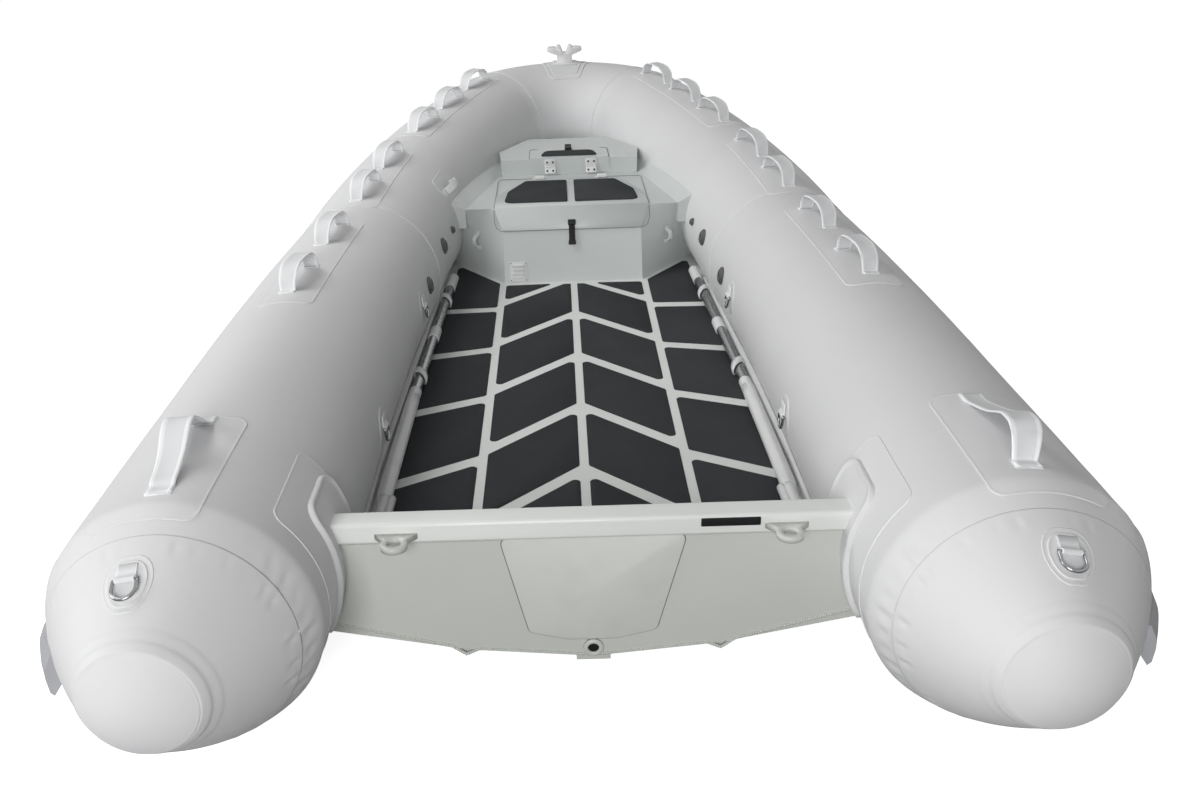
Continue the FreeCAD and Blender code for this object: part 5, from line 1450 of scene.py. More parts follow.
@dataclass(frozen=True)
class Handles:
    """All the grab handles and the two stern handles, which hang limp."""

    finishes: Finishes
    rows: tuple = (("mid", (1.150, 1.515)), ("fore", (1.950, 2.240)),
                   ("bow", (2.635, 2.910, 3.180)))
    stern_run: float = 0.263
    limp_port: tuple = ((1.0, 0.0), (0.93, 0.06), (0.76, 0.26), (0.54, 0.55), (0.37, 0.82),
                        (0.22, 0.98), (0.05, 0.97), (-0.1, 0.85), (-0.44, 0.42), (-0.72, 0.20),
                        (-0.93, 0.09), (-1.0, 0.0))
    limp_starboard: tuple = ((1.0, 0.0), (0.8, 0.07), (0.57, 0.20), (0.3, 0.36), (0.02, 0.55),
                             (-0.2, 0.75), (-0.45, 0.96), (-0.6, 1.0), (-0.76, 0.97),
                             (-0.89, 0.75), (-0.96, 0.42), (-1.0, 0.0))

    def build(self) -> None:
        """Make the handles, one piece for each node."""
        for side in Side:
            for part, runs in self.rows:
                forms = [form for run in runs for form in GrabHandle().forms(run, side)]
                self.settle(f"grab_handles_{part}_{side.tag}", forms)
        forms = []
        for side, shares in ((Side.PORT, self.limp_port), (Side.STARBOARD, self.limp_starboard)):
            stern = GrabHandle(0.226, 0.056, 0.040, 0.020, 0.0, 3.5, 0.0028, shares)
            forms += stern.forms(self.stern_run, side)
        self.settle("stern_handles", forms)

    def settle(self, node: str, forms: Sequence[Form]) -> None:
        """Make the piece that stands for a node of handles."""
        join_forms(node + "_webbing", forms, self.finishes.webbing, Slot.WEBBING, DOUBLED,
                   replaces=[node])


@dataclass(frozen=True)
class RingAndTab:
    """A D-ring in the roll of the tab that holds it."""

    radius: float = 0.018
    leg: float = 0.014
    wire: float = 0.0027
    tilt: float = 4.0
    reach: float = 0.027

    def ring(self, seat: Seat) -> Form:
        """The ring, hanging aft.

        Args:
            seat: where its bar lies.

        Returns:
            Its points and faces.
        """
        radius, leg = self.radius, self.leg
        path = [(0.0, y) for y in np.linspace(-radius, radius, 9)]
        path += [(-x, radius) for x in np.linspace(0.004, leg, 4)]
        path += [(-leg - radius * math.sin(t), radius * math.cos(t))
                 for t in np.linspace(0.12, math.pi - 0.12, 17)]
        path += [(-x, -radius) for x in np.linspace(leg, 0.004, 4)]
        path = np.array([(x, y, 0.005 - x * math.tan(math.radians(self.tilt))) for x, y in path])
        return tube_form(seat.put(path), self.wire, 12, closed=True)

    def tab(self, seat: Seat) -> Form:
        """The tab: a sheet that lies forward, rolls round the bar and comes back.

        Args:
            seat: where the ring's bar lies.

        Returns:
            Its points, faces and places on the cloth.
        """
        half = self.radius - self.wire - 0.001
        high, length = self.wire + 0.0022, self.reach
        line = [(length, 0.0031), (length * 0.5, 0.0032), (0.006, 0.0040)]
        for turn in np.radians(np.linspace(70, 290, 12)):
            line.append((high * math.cos(turn) * 1.02, 0.005 + high * math.sin(turn) * 0.98))
        line += [(0.006, 0.0004), (length * 0.5, 0.0002), (length, 0.0002)]
        across = np.array([-half, -half + 0.0008, 0.0, half - 0.0008, half])
        verts = np.array([[(x, y, max(z, 0.0001)) for y in across] for x, z in line])
        faces = grid_faces(len(line), len(across))
        for column in (0, len(across) - 1):
            faces.append(tuple(row * len(across) + column for row in range(len(line))))
        last = (len(line) - 1) * len(across)
        for column in range(len(across) - 1):
            faces.append((column + 1, column, last + column, last + column + 1))
        return seat.put(verts.reshape(-1, 3)), faces, verts[..., :2].reshape(-1, 2)


@dataclass(frozen=True)
class Rings:
    """The stern and inner D-rings with their tabs."""

    finishes: Finishes
    rows: tuple = (("stern_rings", ((-0.018, 8.0),), 0.0),
                   ("inner_rings", ((0.800, -90.0), (1.505, -85.0)), 90.0))

    def build(self) -> None:
        """Make the rings and tabs."""
        kit = RingAndTab()
        for node, places, turn in self.rows:
            seats = [skin_seat(run, angle, side, 0.0012).turned(turn)
                     for side in Side for run, angle in places]
            join_forms(node + "_steel", map(kit.ring, seats), self.finishes.steel, Slot.METAL,
                       TOUCHING, replaces=[node])
            join_forms(node + "_tabs", map(kit.tab, seats), self.finishes.webbing,
                       Slot.WEBBING, TOUCHING)


# ---- plates, turned forms and welds of the hull ----


def at(x: float, station: float, height: float) -> np.ndarray:
    """A place in the frame from its offset, its station and its height over the axis."""
    return np.array([x, station + STERN, height + AXIS_HEIGHT])


def rounded(points: Sequence[Sequence[float]], radius: float) -> np.ndarray:
    """A closed outline with its corners rounded.

    Args:
        points: its corners in turn.
        radius: the rounding.

    Returns:
        The points of the outline.
    """
    points = np.asarray(points, float)
    made = []
    for number, corner in enumerate(points):
        before, after = points[number - 1] - corner, points[(number + 1) % len(points)] - corner
        reach_a, reach_b = np.linalg.norm(before), np.linalg.norm(after)
        before, after = before / reach_a, after / reach_b
        turn = math.acos(float(np.clip(before @ after, -1, 1)))
        reach = min(radius / math.tan(turn / 2), reach_a * 0.49, reach_b * 0.49)
        first, last = corner + before * reach, corner + after * reach
        for share in np.linspace(0, 1, 6):
            made.append((1 - share) ** 2 * first + 2 * share * (1 - share) * corner
                        + share ** 2 * last)
    return np.array(made)


def inset(outline: np.ndarray, by: float) -> np.ndarray:
    """A closed outline moved inwards."""
    along = np.roll(outline, -1, 0) - np.roll(outline, 1, 0)
    along /= np.linalg.norm(along, axis=1)[:, None]
    area = np.sum(outline[:, 0] * np.roll(outline[:, 1], -1)
                  - outline[:, 1] * np.roll(outline[:, 0], -1))
    inward = np.stack([-along[:, 1], along[:, 0]], -1) * (1.0 if area > 0 else -1.0)
    return outline + inward * by


def flat_ring(outline: np.ndarray, height: float) -> np.ndarray:
    """A flat outline raised to a height."""
    return np.column_stack([outline, np.full(len(outline), height)])


def slab_form(outline: np.ndarray, seat: Seat, low: float, high: float, ease: float) -> Form:
    """A flat plate with an eased upper edge.

    Args:
        outline: its outline on the seat.
        seat: what it stands on.
        low: its underside.
        high: its top.
        ease: the easing of its upper edge.

    Returns:
        Its points and faces.
    """
    steps = ((0.0, low), (0.0, high - ease), (ease * 0.3, high - ease * 0.3), (ease, high))
    verts, faces = lofted([flat_ring(inset(outline, step), height) for step, height in steps])
    return seat.put(verts), faces


def bar_form(seat: Seat, ends: Sequence[float], half: float, corner: float,
             *heights: float) -> Form:
    """A plate of four rounded corners along a seat's forward direction.

    Args:
        seat: what it stands on.
        ends: where it starts and ends.
        half: half its width.
        corner: the rounding of its corners.
        heights: its underside, its top and the easing of its upper edge.

    Returns:
        Its points and faces.
    """
    first, last = ends
    outline = rounded(((first, -half), (last, -half), (last, half), (first, half)), corner)
    return slab_form(outline, seat, *heights)


def turned_form(profile: Sequence[Sequence[float]], seat: Seat, sides: int = 32) -> Form:
    """A turned form on a seat, from radius and height pairs, closed at both ends."""
    turn = full_turn(sides)
    circle = np.column_stack([np.cos(turn), np.sin(turn)])
    verts, faces = lofted([flat_ring(radius * circle, height) for radius, height in profile])
    return seat.put(verts), faces


def plane_seat(origin: Sequence[float], forward: Sequence[float],
               out: Sequence[float]) -> Seat:
    """A seat on a plane.

    Args:
        origin: its place.
        forward: its forward direction, made square to out.
        out: its outward direction.

    Returns:
        The seat.
    """
    forward, out = np.asarray(forward, float), unit(np.asarray(out, float))
    forward = unit(forward - out * (forward @ out))
    return Seat(np.asarray(origin, float), forward, np.cross(out, forward), out)


def lower_edge(node: str, station: float) -> np.ndarray:
    """The lower outline of a node.

    Args:
        node: the node's name.
        station: where it is taken, within 4 mm.

    Returns:
        Its points from port to starboard.
    """
    lowest: dict[float, Vector] = {}
    for vertex in frame["nodes"][node].data.vertices:
        place = vertex.co
        if abs(place.y - STERN - station) < 0.004:
            key = round(place.x, 3)
            if key not in lowest or place.z < lowest[key].z:
                lowest[key] = place
    return np.array([tuple(lowest[key]) for key in sorted(lowest)])


@dataclass(frozen=True)
class Transom:
    """The beam, motor plate, eyes, drain, welds and the blank plate."""

    finishes: Finishes
    plate_corners: tuple = ((-0.153, 0.0405), (-0.110, -0.149), (-0.042, -0.1655),
                            (0.042, -0.1655), (0.110, -0.149), (0.160, 0.0405))
    blank: tuple = ((0.181, 0.0582), (0.279, 0.0582), (0.279, 0.0735), (0.181, 0.0735))
    aft: float = 0.262
    drain_height: float = -0.184
    drain_ring: tuple = ((0.018, -0.0004), (0.0175, 0.004), (0.0160, 0.0060),
                         (0.0115, 0.0062), (0.0098, 0.0050), (0.0096, 0.0005))
    drain_bore: tuple = ((0.0097, -0.0003), (0.0096, 0.0022), (0.004, 0.0016))
    eye_middle: float = 0.0295
    eye_hole: float = 0.0115
    eye_radius: float = 0.0225

    def build(self) -> None:
        """Make every piece of the transom."""
        eased_copy("transom_beam", 0.004, self.finishes.deck, Slot.HULL, segments=3)
        for side in Side:
            self.eye(side)
        aft, outline = self.looking_aft(self.aft), rounded(self.plate_corners, 0.014)
        plate = slab_form(outline, aft, -0.0004, 0.0032, 0.0012)
        join_forms("motor_plate", [plate], self.finishes.plate, Slot.PLASTIC,
                   replaces=["motor_pad"])
        bed = slab_form(inset(outline, -0.0017), aft, -0.0004, 0.0009, 0.0003)
        join_forms("motor_plate_bed", [bed], self.finishes.gasket_and_gap_shade, Slot.RUBBER)
        blank = slab_form(rounded(self.blank, 0.002), self.looking_aft(0.252), -0.0003, 0.0012,
                          0.0004)
        join_forms("blank_plate", [blank], self.finishes.black, Slot.RUBBER)
        self.drain()
        self.welds()

    @staticmethod
    def looking_aft(station: float, height: float = 0.0) -> Seat:
        """A seat amidships that looks aft."""
        return plane_seat(at(0, station, height), (1, 0, 0), (0, -1, 0))

    def eye(self, side: Side) -> None:
        """A towing eye: a ring that flares into the beam.

        Args:
            side: which one.
        """
        seat = plane_seat(at(side.value * 0.322, 0.2525, 0.0516), (0, -1, 0), (0, 0, 1))
        circle = np.array([(math.cos(turn), math.sin(turn)) for turn in full_turn(64)])
        outer, trial = [], np.linspace(0.0, 0.06, 121)
        for x, y in circle:
            ahead = self.eye_middle + trial * x
            wide = 0.0205 + 0.020 * np.maximum(0.0, 1 - ahead / 0.024) ** 2.2
            fits = (x < 0.15) & (ahead >= -0.001) & (np.abs(trial * y) <= wide)
            outer.append(circle[len(outer)] * np.max(trial[fits], initial=self.eye_radius))
        middle = np.array([self.eye_middle, 0.0])
        outer, rim, lip = np.array(outer), self.eye_hole * circle, self.eye_hole * 1.12 * circle
        rings = [flat_ring(middle + flat, height) for flat, height in (
            (rim, 0.0015), (lip, 0.0), (outer, 0.0), (outer, 0.0085), (outer * 0.95, 0.010),
            (lip, 0.010), (rim, 0.0085), (rim, 0.0015))]
        form = seat.put(np.concatenate(rings)), grid_faces(len(rings), len(circle), True)
        join_forms("towing_eye_ring_" + side.tag, [form], self.finishes.aluminium, Slot.HULL,
                   TOUCHING, replaces=["towing_eye_" + side.tag])

    def drain(self) -> None:
        """The drain's ring, and a black disc in its bore as painted shade of the hollow."""
        seat = self.looking_aft(self.aft, self.drain_height)
        join_forms("drain_ring", [turned_form(self.drain_ring, seat)], self.finishes.aluminium,
                   Slot.HULL, replaces=["drain_boss"])
        # painted shade: a black disc stands for the dark hollow of the drain
        join_forms("drain_bore", [turned_form(self.drain_bore, seat, 24)], self.finishes.black,
                   Slot.RUBBER)

    def welds(self) -> None:
        """The welds along the hull's lower edge and under the beam."""
        edge = lower_edge("hull_bottom", 0.267)
        edge[:, 1] = STERN + 0.2618
        lower = edge[np.abs(edge[:, 0]) < 0.4575] + np.array([0.0, 0.0, 0.0030])
        beam = [at(x, 0.2612, 0.0402) for x in (-0.430, 0.430)]
        weld_beads("transom_welds", (lower, beam), 0.0042, 0.0034, self.finishes.aluminium,
                   Slot.HULL)


def loose_parts(work: bmesh.types.BMesh) -> Iterator[list[bmesh.types.BMVert]]:
    """The vertices of each loose part of a mesh."""
    left = dict.fromkeys(work.verts)
    while left:
        part, line = [], [left.popitem()[0]]
        while line:
            vertex = line.pop()
            part.append(vertex)
            near = [edge.other_vert(vertex) for edge in vertex.link_edges]
            near = [other for other in near if other in left]
            for other in near:
                del left[other]
            line += near
        yield part


@dataclass(frozen=True)
class Well:
    """The deck plate with its bare strips, the foam pads and the side rails."""

    finishes: Finishes
    plate_rise: float = 0.0036
    trim: float = 0.0095
    rails: tuple = ((0.404, 0.020), (0.4175, 0.024))

    def build(self) -> None:
        """Make the pieces of the well."""
        self.trim_pads(eased_copy("deck_pads", 0.0010, self.finishes.foam, Slot.PAD))
        eased_copy("side_rails", 0.005, self.finishes.plastic, Slot.PLASTIC, segments=3)
        deck = eased_copy("deck_floor", 0.0005, self.finishes.deck, Slot.HULL)
        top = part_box("deck_floor")[1][2] - 0.0012
        for vertex in deck.data.vertices:
            if vertex.co.z > top:
                vertex.co.z += self.plate_rise
        forms = []
        for side in Side:
            for across, high in self.rails:
                path = [at(side.value * (across - 0.0004 * n), 0.306 + 0.0178 * n,
                           -0.1105 + high / 2) for n in range(21)]
                forms.append(tube_form(path, high / 2, 16))
        join_forms("rail_ends", forms, self.finishes.plastic, Slot.PLASTIC)

    def trim_pads(self, pads: bpy.types.Object) -> None:
        """Draw each pad's fore and aft edges in, as the strips across them are broad."""
        with edited(pads.data) as work:
            for part in loose_parts(work):
                x, y = (np.array([vertex.co[axis] for vertex in part]) for axis in (0, 1))
                slope, middle = np.polyfit(x, y, 1)
                for vertex, off in zip(part, y - slope * x - middle):
                    vertex.co.y -= math.copysign(min(self.trim, abs(off) * 0.4), off)


@dataclass(frozen=True)
class Lockers:
    """The two lockers with their lids, pads, seams, hinges, latches and vent."""

    finishes: Finishes
    riser: tuple = ((2.045, -0.115), (2.149, 0.100))
    fore_edges: tuple = ((0.0, (0, 1, 0)), (0.146, (0.90, 0.44, 0)), (-0.146, (-0.90, 0.44, 0)))
    apron: tuple = ((0.2428, 0.097), (0.2428, 0.062), (0.236, 0.044), (0.222, 0.0352),
                    (0.0, 0.0345))
    fuel_seam: tuple = ((-0.2428, 2.150), (-0.2428, 2.50), (-0.236, 2.518), (0.236, 2.518),
                        (0.2428, 2.50), (0.2428, 2.150))
    anchor_seam: tuple = ((-0.1378, 2.590), (-0.1378, 2.725), (-0.128, 2.739), (0.128, 2.739),
                          (0.1378, 2.725), (0.1378, 2.590))
    hood: tuple = ((0.0, 0.0022), (0.0008, 0.0058), (0.0030, 0.0066), (0.0090, 0.0030),
                   (0.0094, 0.0022))

    def front(self, x: float, height: float, proud: float = 0.0) -> Seat:
        """A seat on the fuel locker's riser, forward being up.

        Args:
            x: its offset.
            height: its height over the axis.
            proud: how far it stands off the riser.

        Returns:
            The seat.
        """
        (foot, low), (head, high) = self.riser
        slope = (head - foot) / (high - low)
        seat = plane_seat(at(x, foot + (height - low) * slope, height), (0, slope, 1),
                          (0, -1, slope))
        return replace(seat, origin=seat.origin + seat.out * proud)

    def build(self) -> None:
        """Make every piece of the lockers."""
        eased_copy("fuel_lid", 0.0016, self.finishes.locker, Slot.HULL, Body.FUEL_LID)
        eased_copy("fuel_lid_pads", 0.0010, self.finishes.foam, Slot.PAD, Body.FUEL_LID)
        eased_copy("anchor_lid_pad", 0.0010, self.finishes.foam, Slot.PAD, Body.ANCHOR_LID)
        self.sloped_deck()
        self.seams()
        self.hinges()
        self.latches()
        self.vent()

    def sloped_deck(self) -> None:
        """The anchor locker with its deck falling away to the bow past its fore edges."""
        mesh = frame["nodes"]["anchor_locker"].data.copy()
        edges = [(at(x, 2.928, 0.15), np.array(facing)) for x, facing in self.fore_edges]
        low = at(0, 2.6, 0.10)
        with edited(mesh) as work:
            bmesh.ops.remove_doubles(work, verts=work.verts, dist=DOUBLED)
            for place, facing in edges:
                bmesh.ops.bisect_plane(work, geom=work.verts[:] + work.edges[:] + work.faces[:],
                                       plane_co=place, plane_no=facing)
            for vertex in work.verts:
                past = max(float((np.array(vertex.co) - place) @ facing)
                           for place, facing in edges)
                if past > 1e-4 and vertex.co.z > low[2] and vertex.co.y > low[1]:
                    vertex.co.z -= min(past * 0.5, 0.10)
        dress(mesh, self.finishes.locker)
        settle_piece(linked("anchor_locker_sloped", mesh), Body.BOAT, Slot.HULL,
                     ["anchor_locker"])

    def seams(self) -> None:
        """Dark tubes along the lines where the lids meet the lockers: painted shade of the gaps."""
        apron = [self.front(x, z, 0.0006).origin for x, z in self.apron]
        apron += [self.front(-x, z, 0.0006).origin for x, z in self.apron[-2::-1]]
        fuel = [at(x, y, 0.1026) for x, y in self.fuel_seam]
        anchor = [at(x, y, 0.1548) for x, y in self.anchor_seam]
        # painted shade: dark tubes stand for the shaded gaps round the lids
        join_forms("lid_seams", [tube_form(path, 0.0008, 8) for path in (apron, fuel, anchor)],
                   self.finishes.gasket_and_gap_shade, Slot.RUBBER)

    @staticmethod
    def leaf(seat: Seat, half: float, depth: float) -> Form:
        """One leaf of a hinge."""
        return bar_form(seat, (0, depth), half, 0.003, -0.0003, 0.0024, 0.0007)

    @staticmethod
    def knuckle(place: Sequence[float], half: float, radius: float, sides: int) -> Form:
        """The barrel of a hinge."""
        x, y, z = place
        return tube_form(np.linspace(at(x - half, y, z), at(x + half, y, z), 8), radius, sides)

    def hinges(self) -> None:
        """The hinges: leaves, knuckles and dark screws."""
        boat, fuel, anchor, screws, lid_screws = [], [], [], [], []
        for x in (-0.066, 0.076):
            low = plane_seat(at(x, 2.5795, 0.1265), (0, 0, -1), (0, -1, 0.35))
            high = plane_seat(at(x, 2.5785, 0.1305), (0, 0, 1), (0, -1, 0))
            boat += [self.leaf(low, 0.019, 0.022),
                     self.knuckle((x, 2.5775, 0.1285), 0.019, 0.0028, 12)]
            anchor.append(self.leaf(high, 0.019, 0.023))
            for seat, spots in ((low, screws), (high, lid_screws)):
                spots += [(seat.put([0.013, y, 0.0030]), seat.out) for y in (-0.010, 0.010)]
        for x in (-0.102, 0.111):
            fore = plane_seat(at(x, 2.524, 0.1000), (0, 1, 0), (0, 0, 1))
            back = plane_seat(at(x, 2.5165, 0.1065), (0, -1, 0), (0, 0, 1))
            boat += [self.leaf(fore, 0.0175, 0.024),
                     self.knuckle((x, 2.5215, 0.1065), 0.0175, 0.0058, 14)]
            fuel.append(self.leaf(back, 0.0175, 0.020))
        paint = self.finishes.plastic
        join_forms("hinge_leaves", boat, paint, Slot.METAL, TOUCHING,
                   replaces=["anchor_hinges", "fuel_hinges"])
        join_forms("fuel_lid_leaves", fuel, paint, Slot.METAL, TOUCHING, body=Body.FUEL_LID)
        join_forms("anchor_lid_leaves", anchor, paint, Slot.METAL, TOUCHING,
                   body=Body.ANCHOR_LID)
        screw_heads("hinge_screws", screws, 0.0034, self.finishes.black)
        screw_heads("anchor_leaf_screws", lid_screws, 0.0034, self.finishes.black,
                    Body.ANCHOR_LID)

    @staticmethod
    def latch(seat: Seat, length: float) -> list[Form]:
        """A rubber draw latch: a boss, a strap with four ribs and a wider grip."""
        half, gap = 0.0095, (length - 0.044) / 3
        forms = [bar_form(seat, (0, 0.017), 0.012, 0.003, -0.0003, 0.0095, 0.002),
                 bar_form(seat, (0.015, length), half, 0.004, -0.0002, 0.0052, 0.0014)]
        for rib in (0.024 + number * gap for number in range(4)):
            forms.append(bar_form(seat, (rib, rib + 0.004), half, 0.0015, 0.004, 0.0078, 0.0012))
        grip = bar_form(seat, (length - 0.013, length), 0.0115, 0.004, 0.001, 0.0088, 0.002)
        return [*forms, grip]

    def latches(self) -> None:
        """The two draw latches."""
        head = self.front(-0.001, 0.0615, 0.0045)
        fuel = replace(head, forward=-head.forward, outboard=-head.outboard)
        anchor = plane_seat(at(-0.001, 2.702, 0.1575), (0, 1, 0), (0, 0, 1))
        for name, seat, length, body in (("fuel", fuel, 0.078, Body.FUEL_LID),
                                         ("anchor", anchor, 0.060, Body.ANCHOR_LID)):
            join_forms(name + "_draw_latch", self.latch(seat, length), self.finishes.black,
                       Slot.RUBBER, body=body, replaces=[name + "_latch"])

    def vent(self) -> None:
        """The vent's plate with four hooded louvres and its screws."""
        seat = self.front(-0.171, -0.080)
        forms = [bar_form(seat, (-0.030, 0.030), 0.027, 0.004, -0.0003, 0.0026, 0.001)]
        for foot in (-0.0225 + number * 0.0125 for number in range(4)):
            forms.append(lofted([seat.put([(foot + x, y, z) for x, z in self.hood])
                                 for y in np.linspace(-0.0195, 0.0195, 6)]))
        join_forms("vent_louvres", forms, self.finishes.plastic, Slot.PLASTIC,
                   replaces=["vent_grille"])
        spots = [(seat.put([x, y, 0.0032]), seat.out) for x in (-0.0265, 0.0265)
                 for y in (-0.0235, 0.0235)]
        screw_heads("vent_screws", spots, 0.0021, self.finishes.gasket_and_gap_shade)


@dataclass(frozen=True)
class Fittings:
    """The valves, the cleat and the carry handle."""

    finishes: Finishes
    valve_places: tuple = ((1.640, -82.0, 0.024), (1.945, -78.0, 0.024), (2.092, -79.0, 0.012))
    cap_radius: float = 0.024
    cap: tuple = ((0.0240, -0.0020), (0.0240, 0.0028), (0.0228, 0.0040), (0.0196, 0.0044),
                  (0.0190, 0.0026), (0.0178, 0.0026), (0.0174, 0.0078), (0.0160, 0.0090),
                  (0.0080, 0.0088), (0.0070, 0.0074), (0.0020, 0.0072))

    def build(self) -> None:
        """Make the fittings."""
        forms = []
        for side in Side:
            for run, angle, radius in self.valve_places:
                seat = skin_seat(run, angle, side)
                profile = [(reach * radius / self.cap_radius, z) for reach, z in self.cap]
                forms.append(turned_form(profile, seat, 36))
                if radius == self.cap_radius:
                    forms.append(bar_form(seat.turned(25.0), (-0.0145, 0.0145), 0.0018, 0.0015,
                                          0.007, 0.0096, 0.0006))
        join_forms("valve_caps", forms, self.finishes.valve, Slot.RUBBER,
                   replaces=["air_valves"])
        for node, width in (("bow_cleat", 0.0035), ("carry_handle", 0.0020)):
            eased_copy(node, width, self.finishes.plastic, Slot.PLASTIC, segments=3)


@dataclass(frozen=True)
class Oars:
    """The stowed oars: shafts, sleeves, clips and blades."""

    finishes: Finishes
    fore: tuple = (0.376, 2.070)
    aft: tuple = (0.404, 1.150)
    tip: float = 0.640
    height: float = -0.096
    radius: float = 0.013
    sleeves: tuple = ((0.0, 0.115, 0.0), (0.50, 0.575, 0.045), (0.955, 1.06, 0.0))
    clips: tuple = (0.228, 0.848)
    clip_section: tuple = ((-0.017, 0.0), (-0.016, 0.0018), (0.016, 0.0018), (0.017, 0.0),
                           (0.016, -0.0016), (-0.016, -0.0016))
    blade_rows: tuple = ((0.0, 0.0152, 0.0150), (0.10, 0.0155, 0.0146), (0.22, 0.0158, 0.0138),
                         (0.36, 0.0160, 0.0130), (0.60, 0.0162, 0.0122), (0.86, 0.0162, 0.0116),
                         (0.95, 0.0160, 0.0108), (0.985, 0.0140, 0.0092), (1.0, 0.0070, 0.0050))

    def build(self) -> None:
        """Make both oars and their clips."""
        clips = []
        for side in Side:
            shaft = [self.spot(share, side) for share in np.linspace(0.06, 1, 24)]
            join_forms("oar_shaft_" + side.tag, [tube_form(shaft, self.radius, 28)],
                       self.finishes.shaft, Slot.METAL, replaces=["oar_" + side.tag])
            white = [self.sleeve(side, *row) for row in self.sleeves]
            join_forms("oar_sleeves_" + side.tag, [*white, self.blade(side)],
                       self.finishes.plastic, Slot.PLASTIC, TOUCHING)
            clips += [self.clip(share, side) for share in self.clips]
        join_forms("oar_clips", clips, self.finishes.plastic, Slot.PLASTIC, TOUCHING,
                   replaces=["oar_holders"])

    def spot(self, share: float, side: Side) -> np.ndarray:
        """A place on the shaft's axis, 0 at its fore end and 1 at the blade's sleeve."""
        x, y = (first + (last - first) * share for first, last in zip(self.fore, self.aft))
        return at(side.value * x, y, self.height)

    def sleeve(self, side: Side, first: float, last: float, ribs: float) -> Form:
        """A sleeve round the shaft.

        Args:
            side: which oar.
            first: its fore end, as a share of the shaft.
            last: its aft end.
            ribs: how much its ribs swell it, as a share of its radius.

        Returns:
            Its points and faces.
        """
        count, sides = 30, 24
        path = np.array([self.spot(share, side) for share in np.linspace(first, last, count)])
        verts, faces = tube_form(path, self.radius + 0.0022, sides)
        middle = np.repeat(path, sides, 0)
        swell = 1 + ribs * np.sin(np.repeat(np.arange(count), sides) * 2.1)
        return middle + (verts - middle) * swell[:, None], faces

    def blade(self, side: Side) -> Form:
        """The blade: a flattened loft that widens aft from the shaft."""
        rings, turn = [], full_turn(28)
        across, up = np.cos(turn), np.sin(turn)
        for share, wide, thick in self.blade_rows:
            y = self.aft[1] + 0.004 + (self.tip - self.aft[1]) * share + STERN
            x = side.value * (self.aft[0] + 0.007 * share) + wide * across
            rib = 0.0022 * np.exp(-((across * wide) / 0.006) ** 2) * (share > 0.1)
            z = np.sign(up) * np.abs(up) ** 0.7 * thick + rib * up
            z += self.height + AXIS_HEIGHT + min(thick - 0.0128, 0.0)
            rings.append(np.column_stack([x, np.full(len(turn), y), z]))
        return lofted(rings)

    def clip(self, share: float, side: Side) -> Form:
        """A white band that holds the shaft, laid slantwise.

        Args:
            share: its place on the shaft.
            side: which oar.

        Returns:
            Its points and faces.
        """
        points, middle, radius = [], self.spot(share, side), self.radius + 0.0034
        rows, count = 40, len(self.clip_section)
        for lean in full_turn(rows):
            for along, lift in self.clip_section:
                reach = radius + lift
                points.append(middle + (side.value * reach * math.cos(lean),
                                        along + 0.020 * math.cos(lean),
                                        max(reach * math.sin(lean), -0.0135)))
        faces = grid_faces(rows, count, True)
        last = (rows - 1) * count
        for place in range(count):
            after = (place + 1) % count
            faces.append((last + place, last + after, after, place))
        return np.array(points), faces


# ---- the stage ----


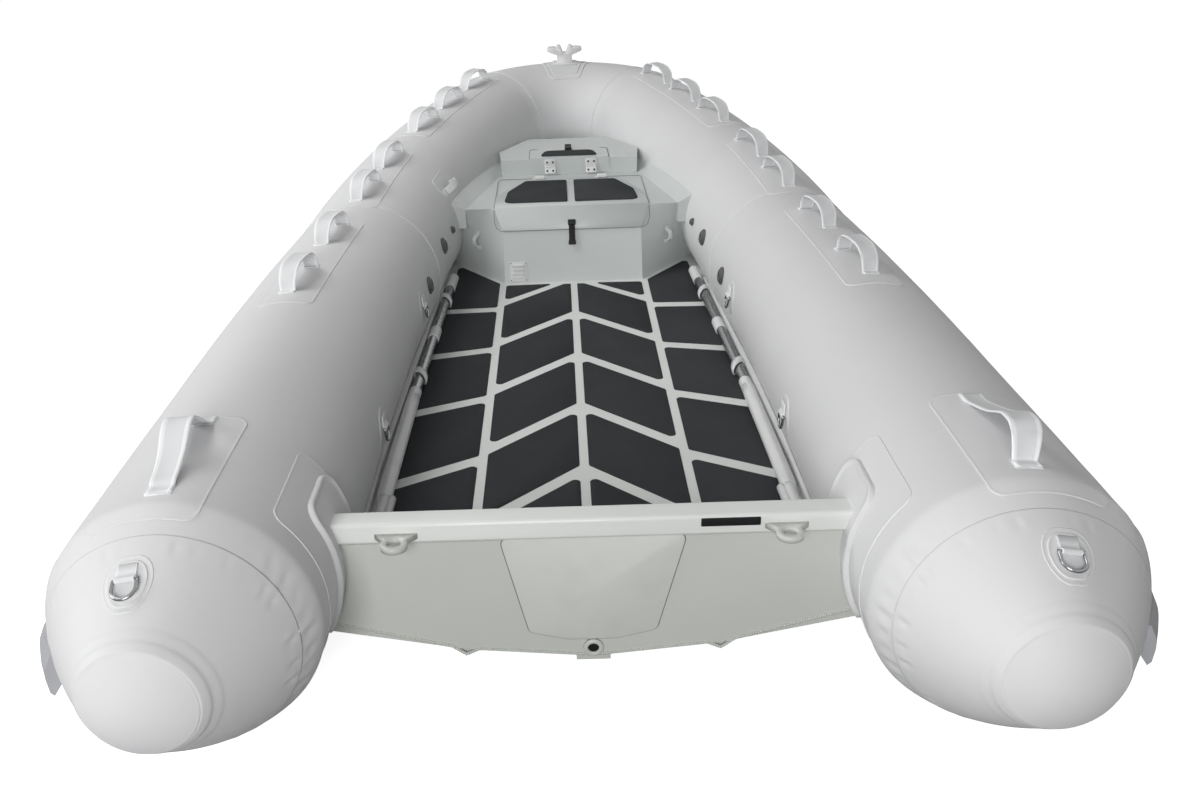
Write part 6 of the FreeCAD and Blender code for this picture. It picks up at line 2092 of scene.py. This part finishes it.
@dataclass(frozen=True)
class Studio:
    """The floor, the soft light and the camera at the photograph's place."""

    focal: float = 1144.0
    centre: tuple = (552.92, 420.19)
    pitch: float = 25.33
    yaw: float = 0.81
    roll: float = -2.13
    place: tuple = (-0.033, STERN - 1.373, 1.244)
    sensor: float = 36.0
    floor_reach: float = 60.0
    floor_glow: float = 0.86
    room: float = 0.17
    lamps: tuple = (("overhead", (-2.3, 0.6, 3.3), (0, 0.2, 0.2), 1.8, 64.0),
                    ("port_box", (-4.4, -2.0, 1.7), (0, -0.4, 0.3), 1.8, 68.0),
                    ("stern_box", (-0.7, -5.2, 1.6), (0, -1.0, 0.1), 1.8, 104.0),
                    ("side_fill", (5.0, 1.2, 0.5), (0, 0.3, 0.2), 2.0, 42.0))

    def build(self) -> None:
        """Make the stage."""
        self.camera()
        self.floor()
        self.world()
        self.lights()

    def camera(self) -> None:
        """The camera, with the photograph's own frame."""
        pitch, yaw, roll = (math.radians(v) for v in (self.pitch, self.yaw, self.roll))
        rows = Matrix(((1, 0, 0), (0, math.sin(pitch), math.cos(pitch)),
                       (0, math.cos(pitch), -math.sin(pitch))))
        swing = Matrix(((math.cos(yaw), -math.sin(yaw), 0), (math.sin(yaw), math.cos(yaw), 0),
                        (0, 0, 1)))
        cant = Matrix(((math.cos(roll), math.sin(roll), 0), (-math.sin(roll), math.cos(roll), 0),
                       (0, 0, 1)))
        rows = cant @ (rows @ swing.transposed())
        turned = Matrix((rows[0], rows[1], -rows[2])).transposed().to_4x4()
        lens = bpy.data.cameras.new("camera")
        view = linked("camera", lens)
        view.matrix_world = Matrix.Translation(self.place) @ turned
        width, height = PHOTO_SIZE
        lens.sensor_width = self.sensor
        lens.lens = self.focal * self.sensor / width
        lens.shift_x = (width / 2 - self.centre[0]) / width
        lens.shift_y = (self.centre[1] - height / 2) / width
        bpy.context.scene.camera = view
        bpy.context.scene.view_settings.view_transform = "Standard"

    def floor(self) -> None:
        """A plain white floor that keeps the boat's shadow."""
        shader = Shader("floor_white")
        seen = shader.node("ShaderNodeLightPath", {}, {}).outputs["Is Camera Ray"]
        grain = shader.noise(shader.place(), 3.0, 2.0)
        colour = shader.blend(grain.ramp(0.3, 0.7), (0.86, 0.86, 0.86, 1), (0.875, 0.875, 0.875, 1))
        shader.finish(Base_Color=colour, Roughness=0.9, Specular_IOR_Level=0.0)
        glow = shader.node("ShaderNodeEmission", {}, {"Color": WHITE, "Strength": self.floor_glow})
        both = shader.node("ShaderNodeAddShader", {},
                           {0: shader.surface.outputs[0], 1: glow.outputs[0]})
        dull = shader.node("ShaderNodeBsdfDiffuse", {}, {"Color": (0.34, 0.34, 0.345, 1)})
        pick = shader.node("ShaderNodeMixShader", {},
                           {0: seen, 1: dull.outputs[0], 2: both.outputs[0]})
        shader.feed(shader.tree.nodes["Material Output"].inputs[0], pick.outputs[0])
        mesh, reach = bpy.data.meshes.new("floor"), self.floor_reach
        mesh.from_pydata([(-reach, -reach, 0), (reach, -reach, 0), (reach, reach, 0),
                          (-reach, reach, 0)], [], [(0, 1, 2, 3)])
        dress(mesh, shader.material)
        linked("floor", mesh)

    def world(self) -> None:
        """A white room's light from all round, which looks pure white."""
        world = bpy.data.worlds.new("room")
        bpy.context.scene.world = world
        world.use_nodes = True
        graph = Graph(world.node_tree)
        plain = graph.tree.nodes["Background"]
        graph.feed(plain.inputs[0], WHITE)
        graph.feed(plain.inputs[1], self.room)
        white = graph.node("ShaderNodeBackground", {}, {0: WHITE, 1: 1.0})
        path = graph.node("ShaderNodeLightPath", {}, {})
        seen = graph.node("ShaderNodeMath", {"operation": "MAXIMUM"},
                          {0: path.outputs["Is Camera Ray"], 1: path.outputs["Is Glossy Ray"]})
        pick = graph.node("ShaderNodeMixShader", {},
                          {0: seen.outputs[0], 1: plain.outputs[0], 2: white.outputs[0]})
        graph.feed(graph.tree.nodes["World Output"].inputs[0], pick.outputs[0])

    def lights(self) -> None:
        """The four soft boxes."""
        for name, place, aim, width, power in self.lamps:
            lamp = bpy.data.lights.new(name, "AREA")
            lamp.size, lamp.energy = width, power
            item = linked(name, lamp)
            item.location = place
            turn = (Vector(aim) - Vector(place)).to_track_quat("-Z", "Y")
            item.rotation_euler = turn.to_euler()


@dataclass(frozen=True)
class CarriedNodes:
    """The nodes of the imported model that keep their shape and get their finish."""

    finishes: Finishes

    def build(self) -> None:
        """Dress every node from its slot."""
        slots = {row["node"]: Slot(row["material_slot"]) for row in frame["record"]["subparts"]}
        own = {"fuel_locker": self.finishes.locker, "anchor_lid": self.finishes.locker}
        for name, node in frame["nodes"].items():
            dress(node.data, own.get(name, self.finishes.by_slot[slots[name]]))
        LOG.info("dressed %d nodes", len(slots))


def main() -> None:
    """Build and dress the boat."""
    logging.basicConfig(level=logging.INFO, format="%(name)s: %(message)s")
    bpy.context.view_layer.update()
    finishes = Finishes()
    Studio().build()
    for part in (CarriedNodes, InflatedTubes, GluedSheets, Handles, Rings, Transom, Well,
                 Lockers, Fittings, Oars):
        part(finishes).build()


if __name__ == "__main__":
    main()
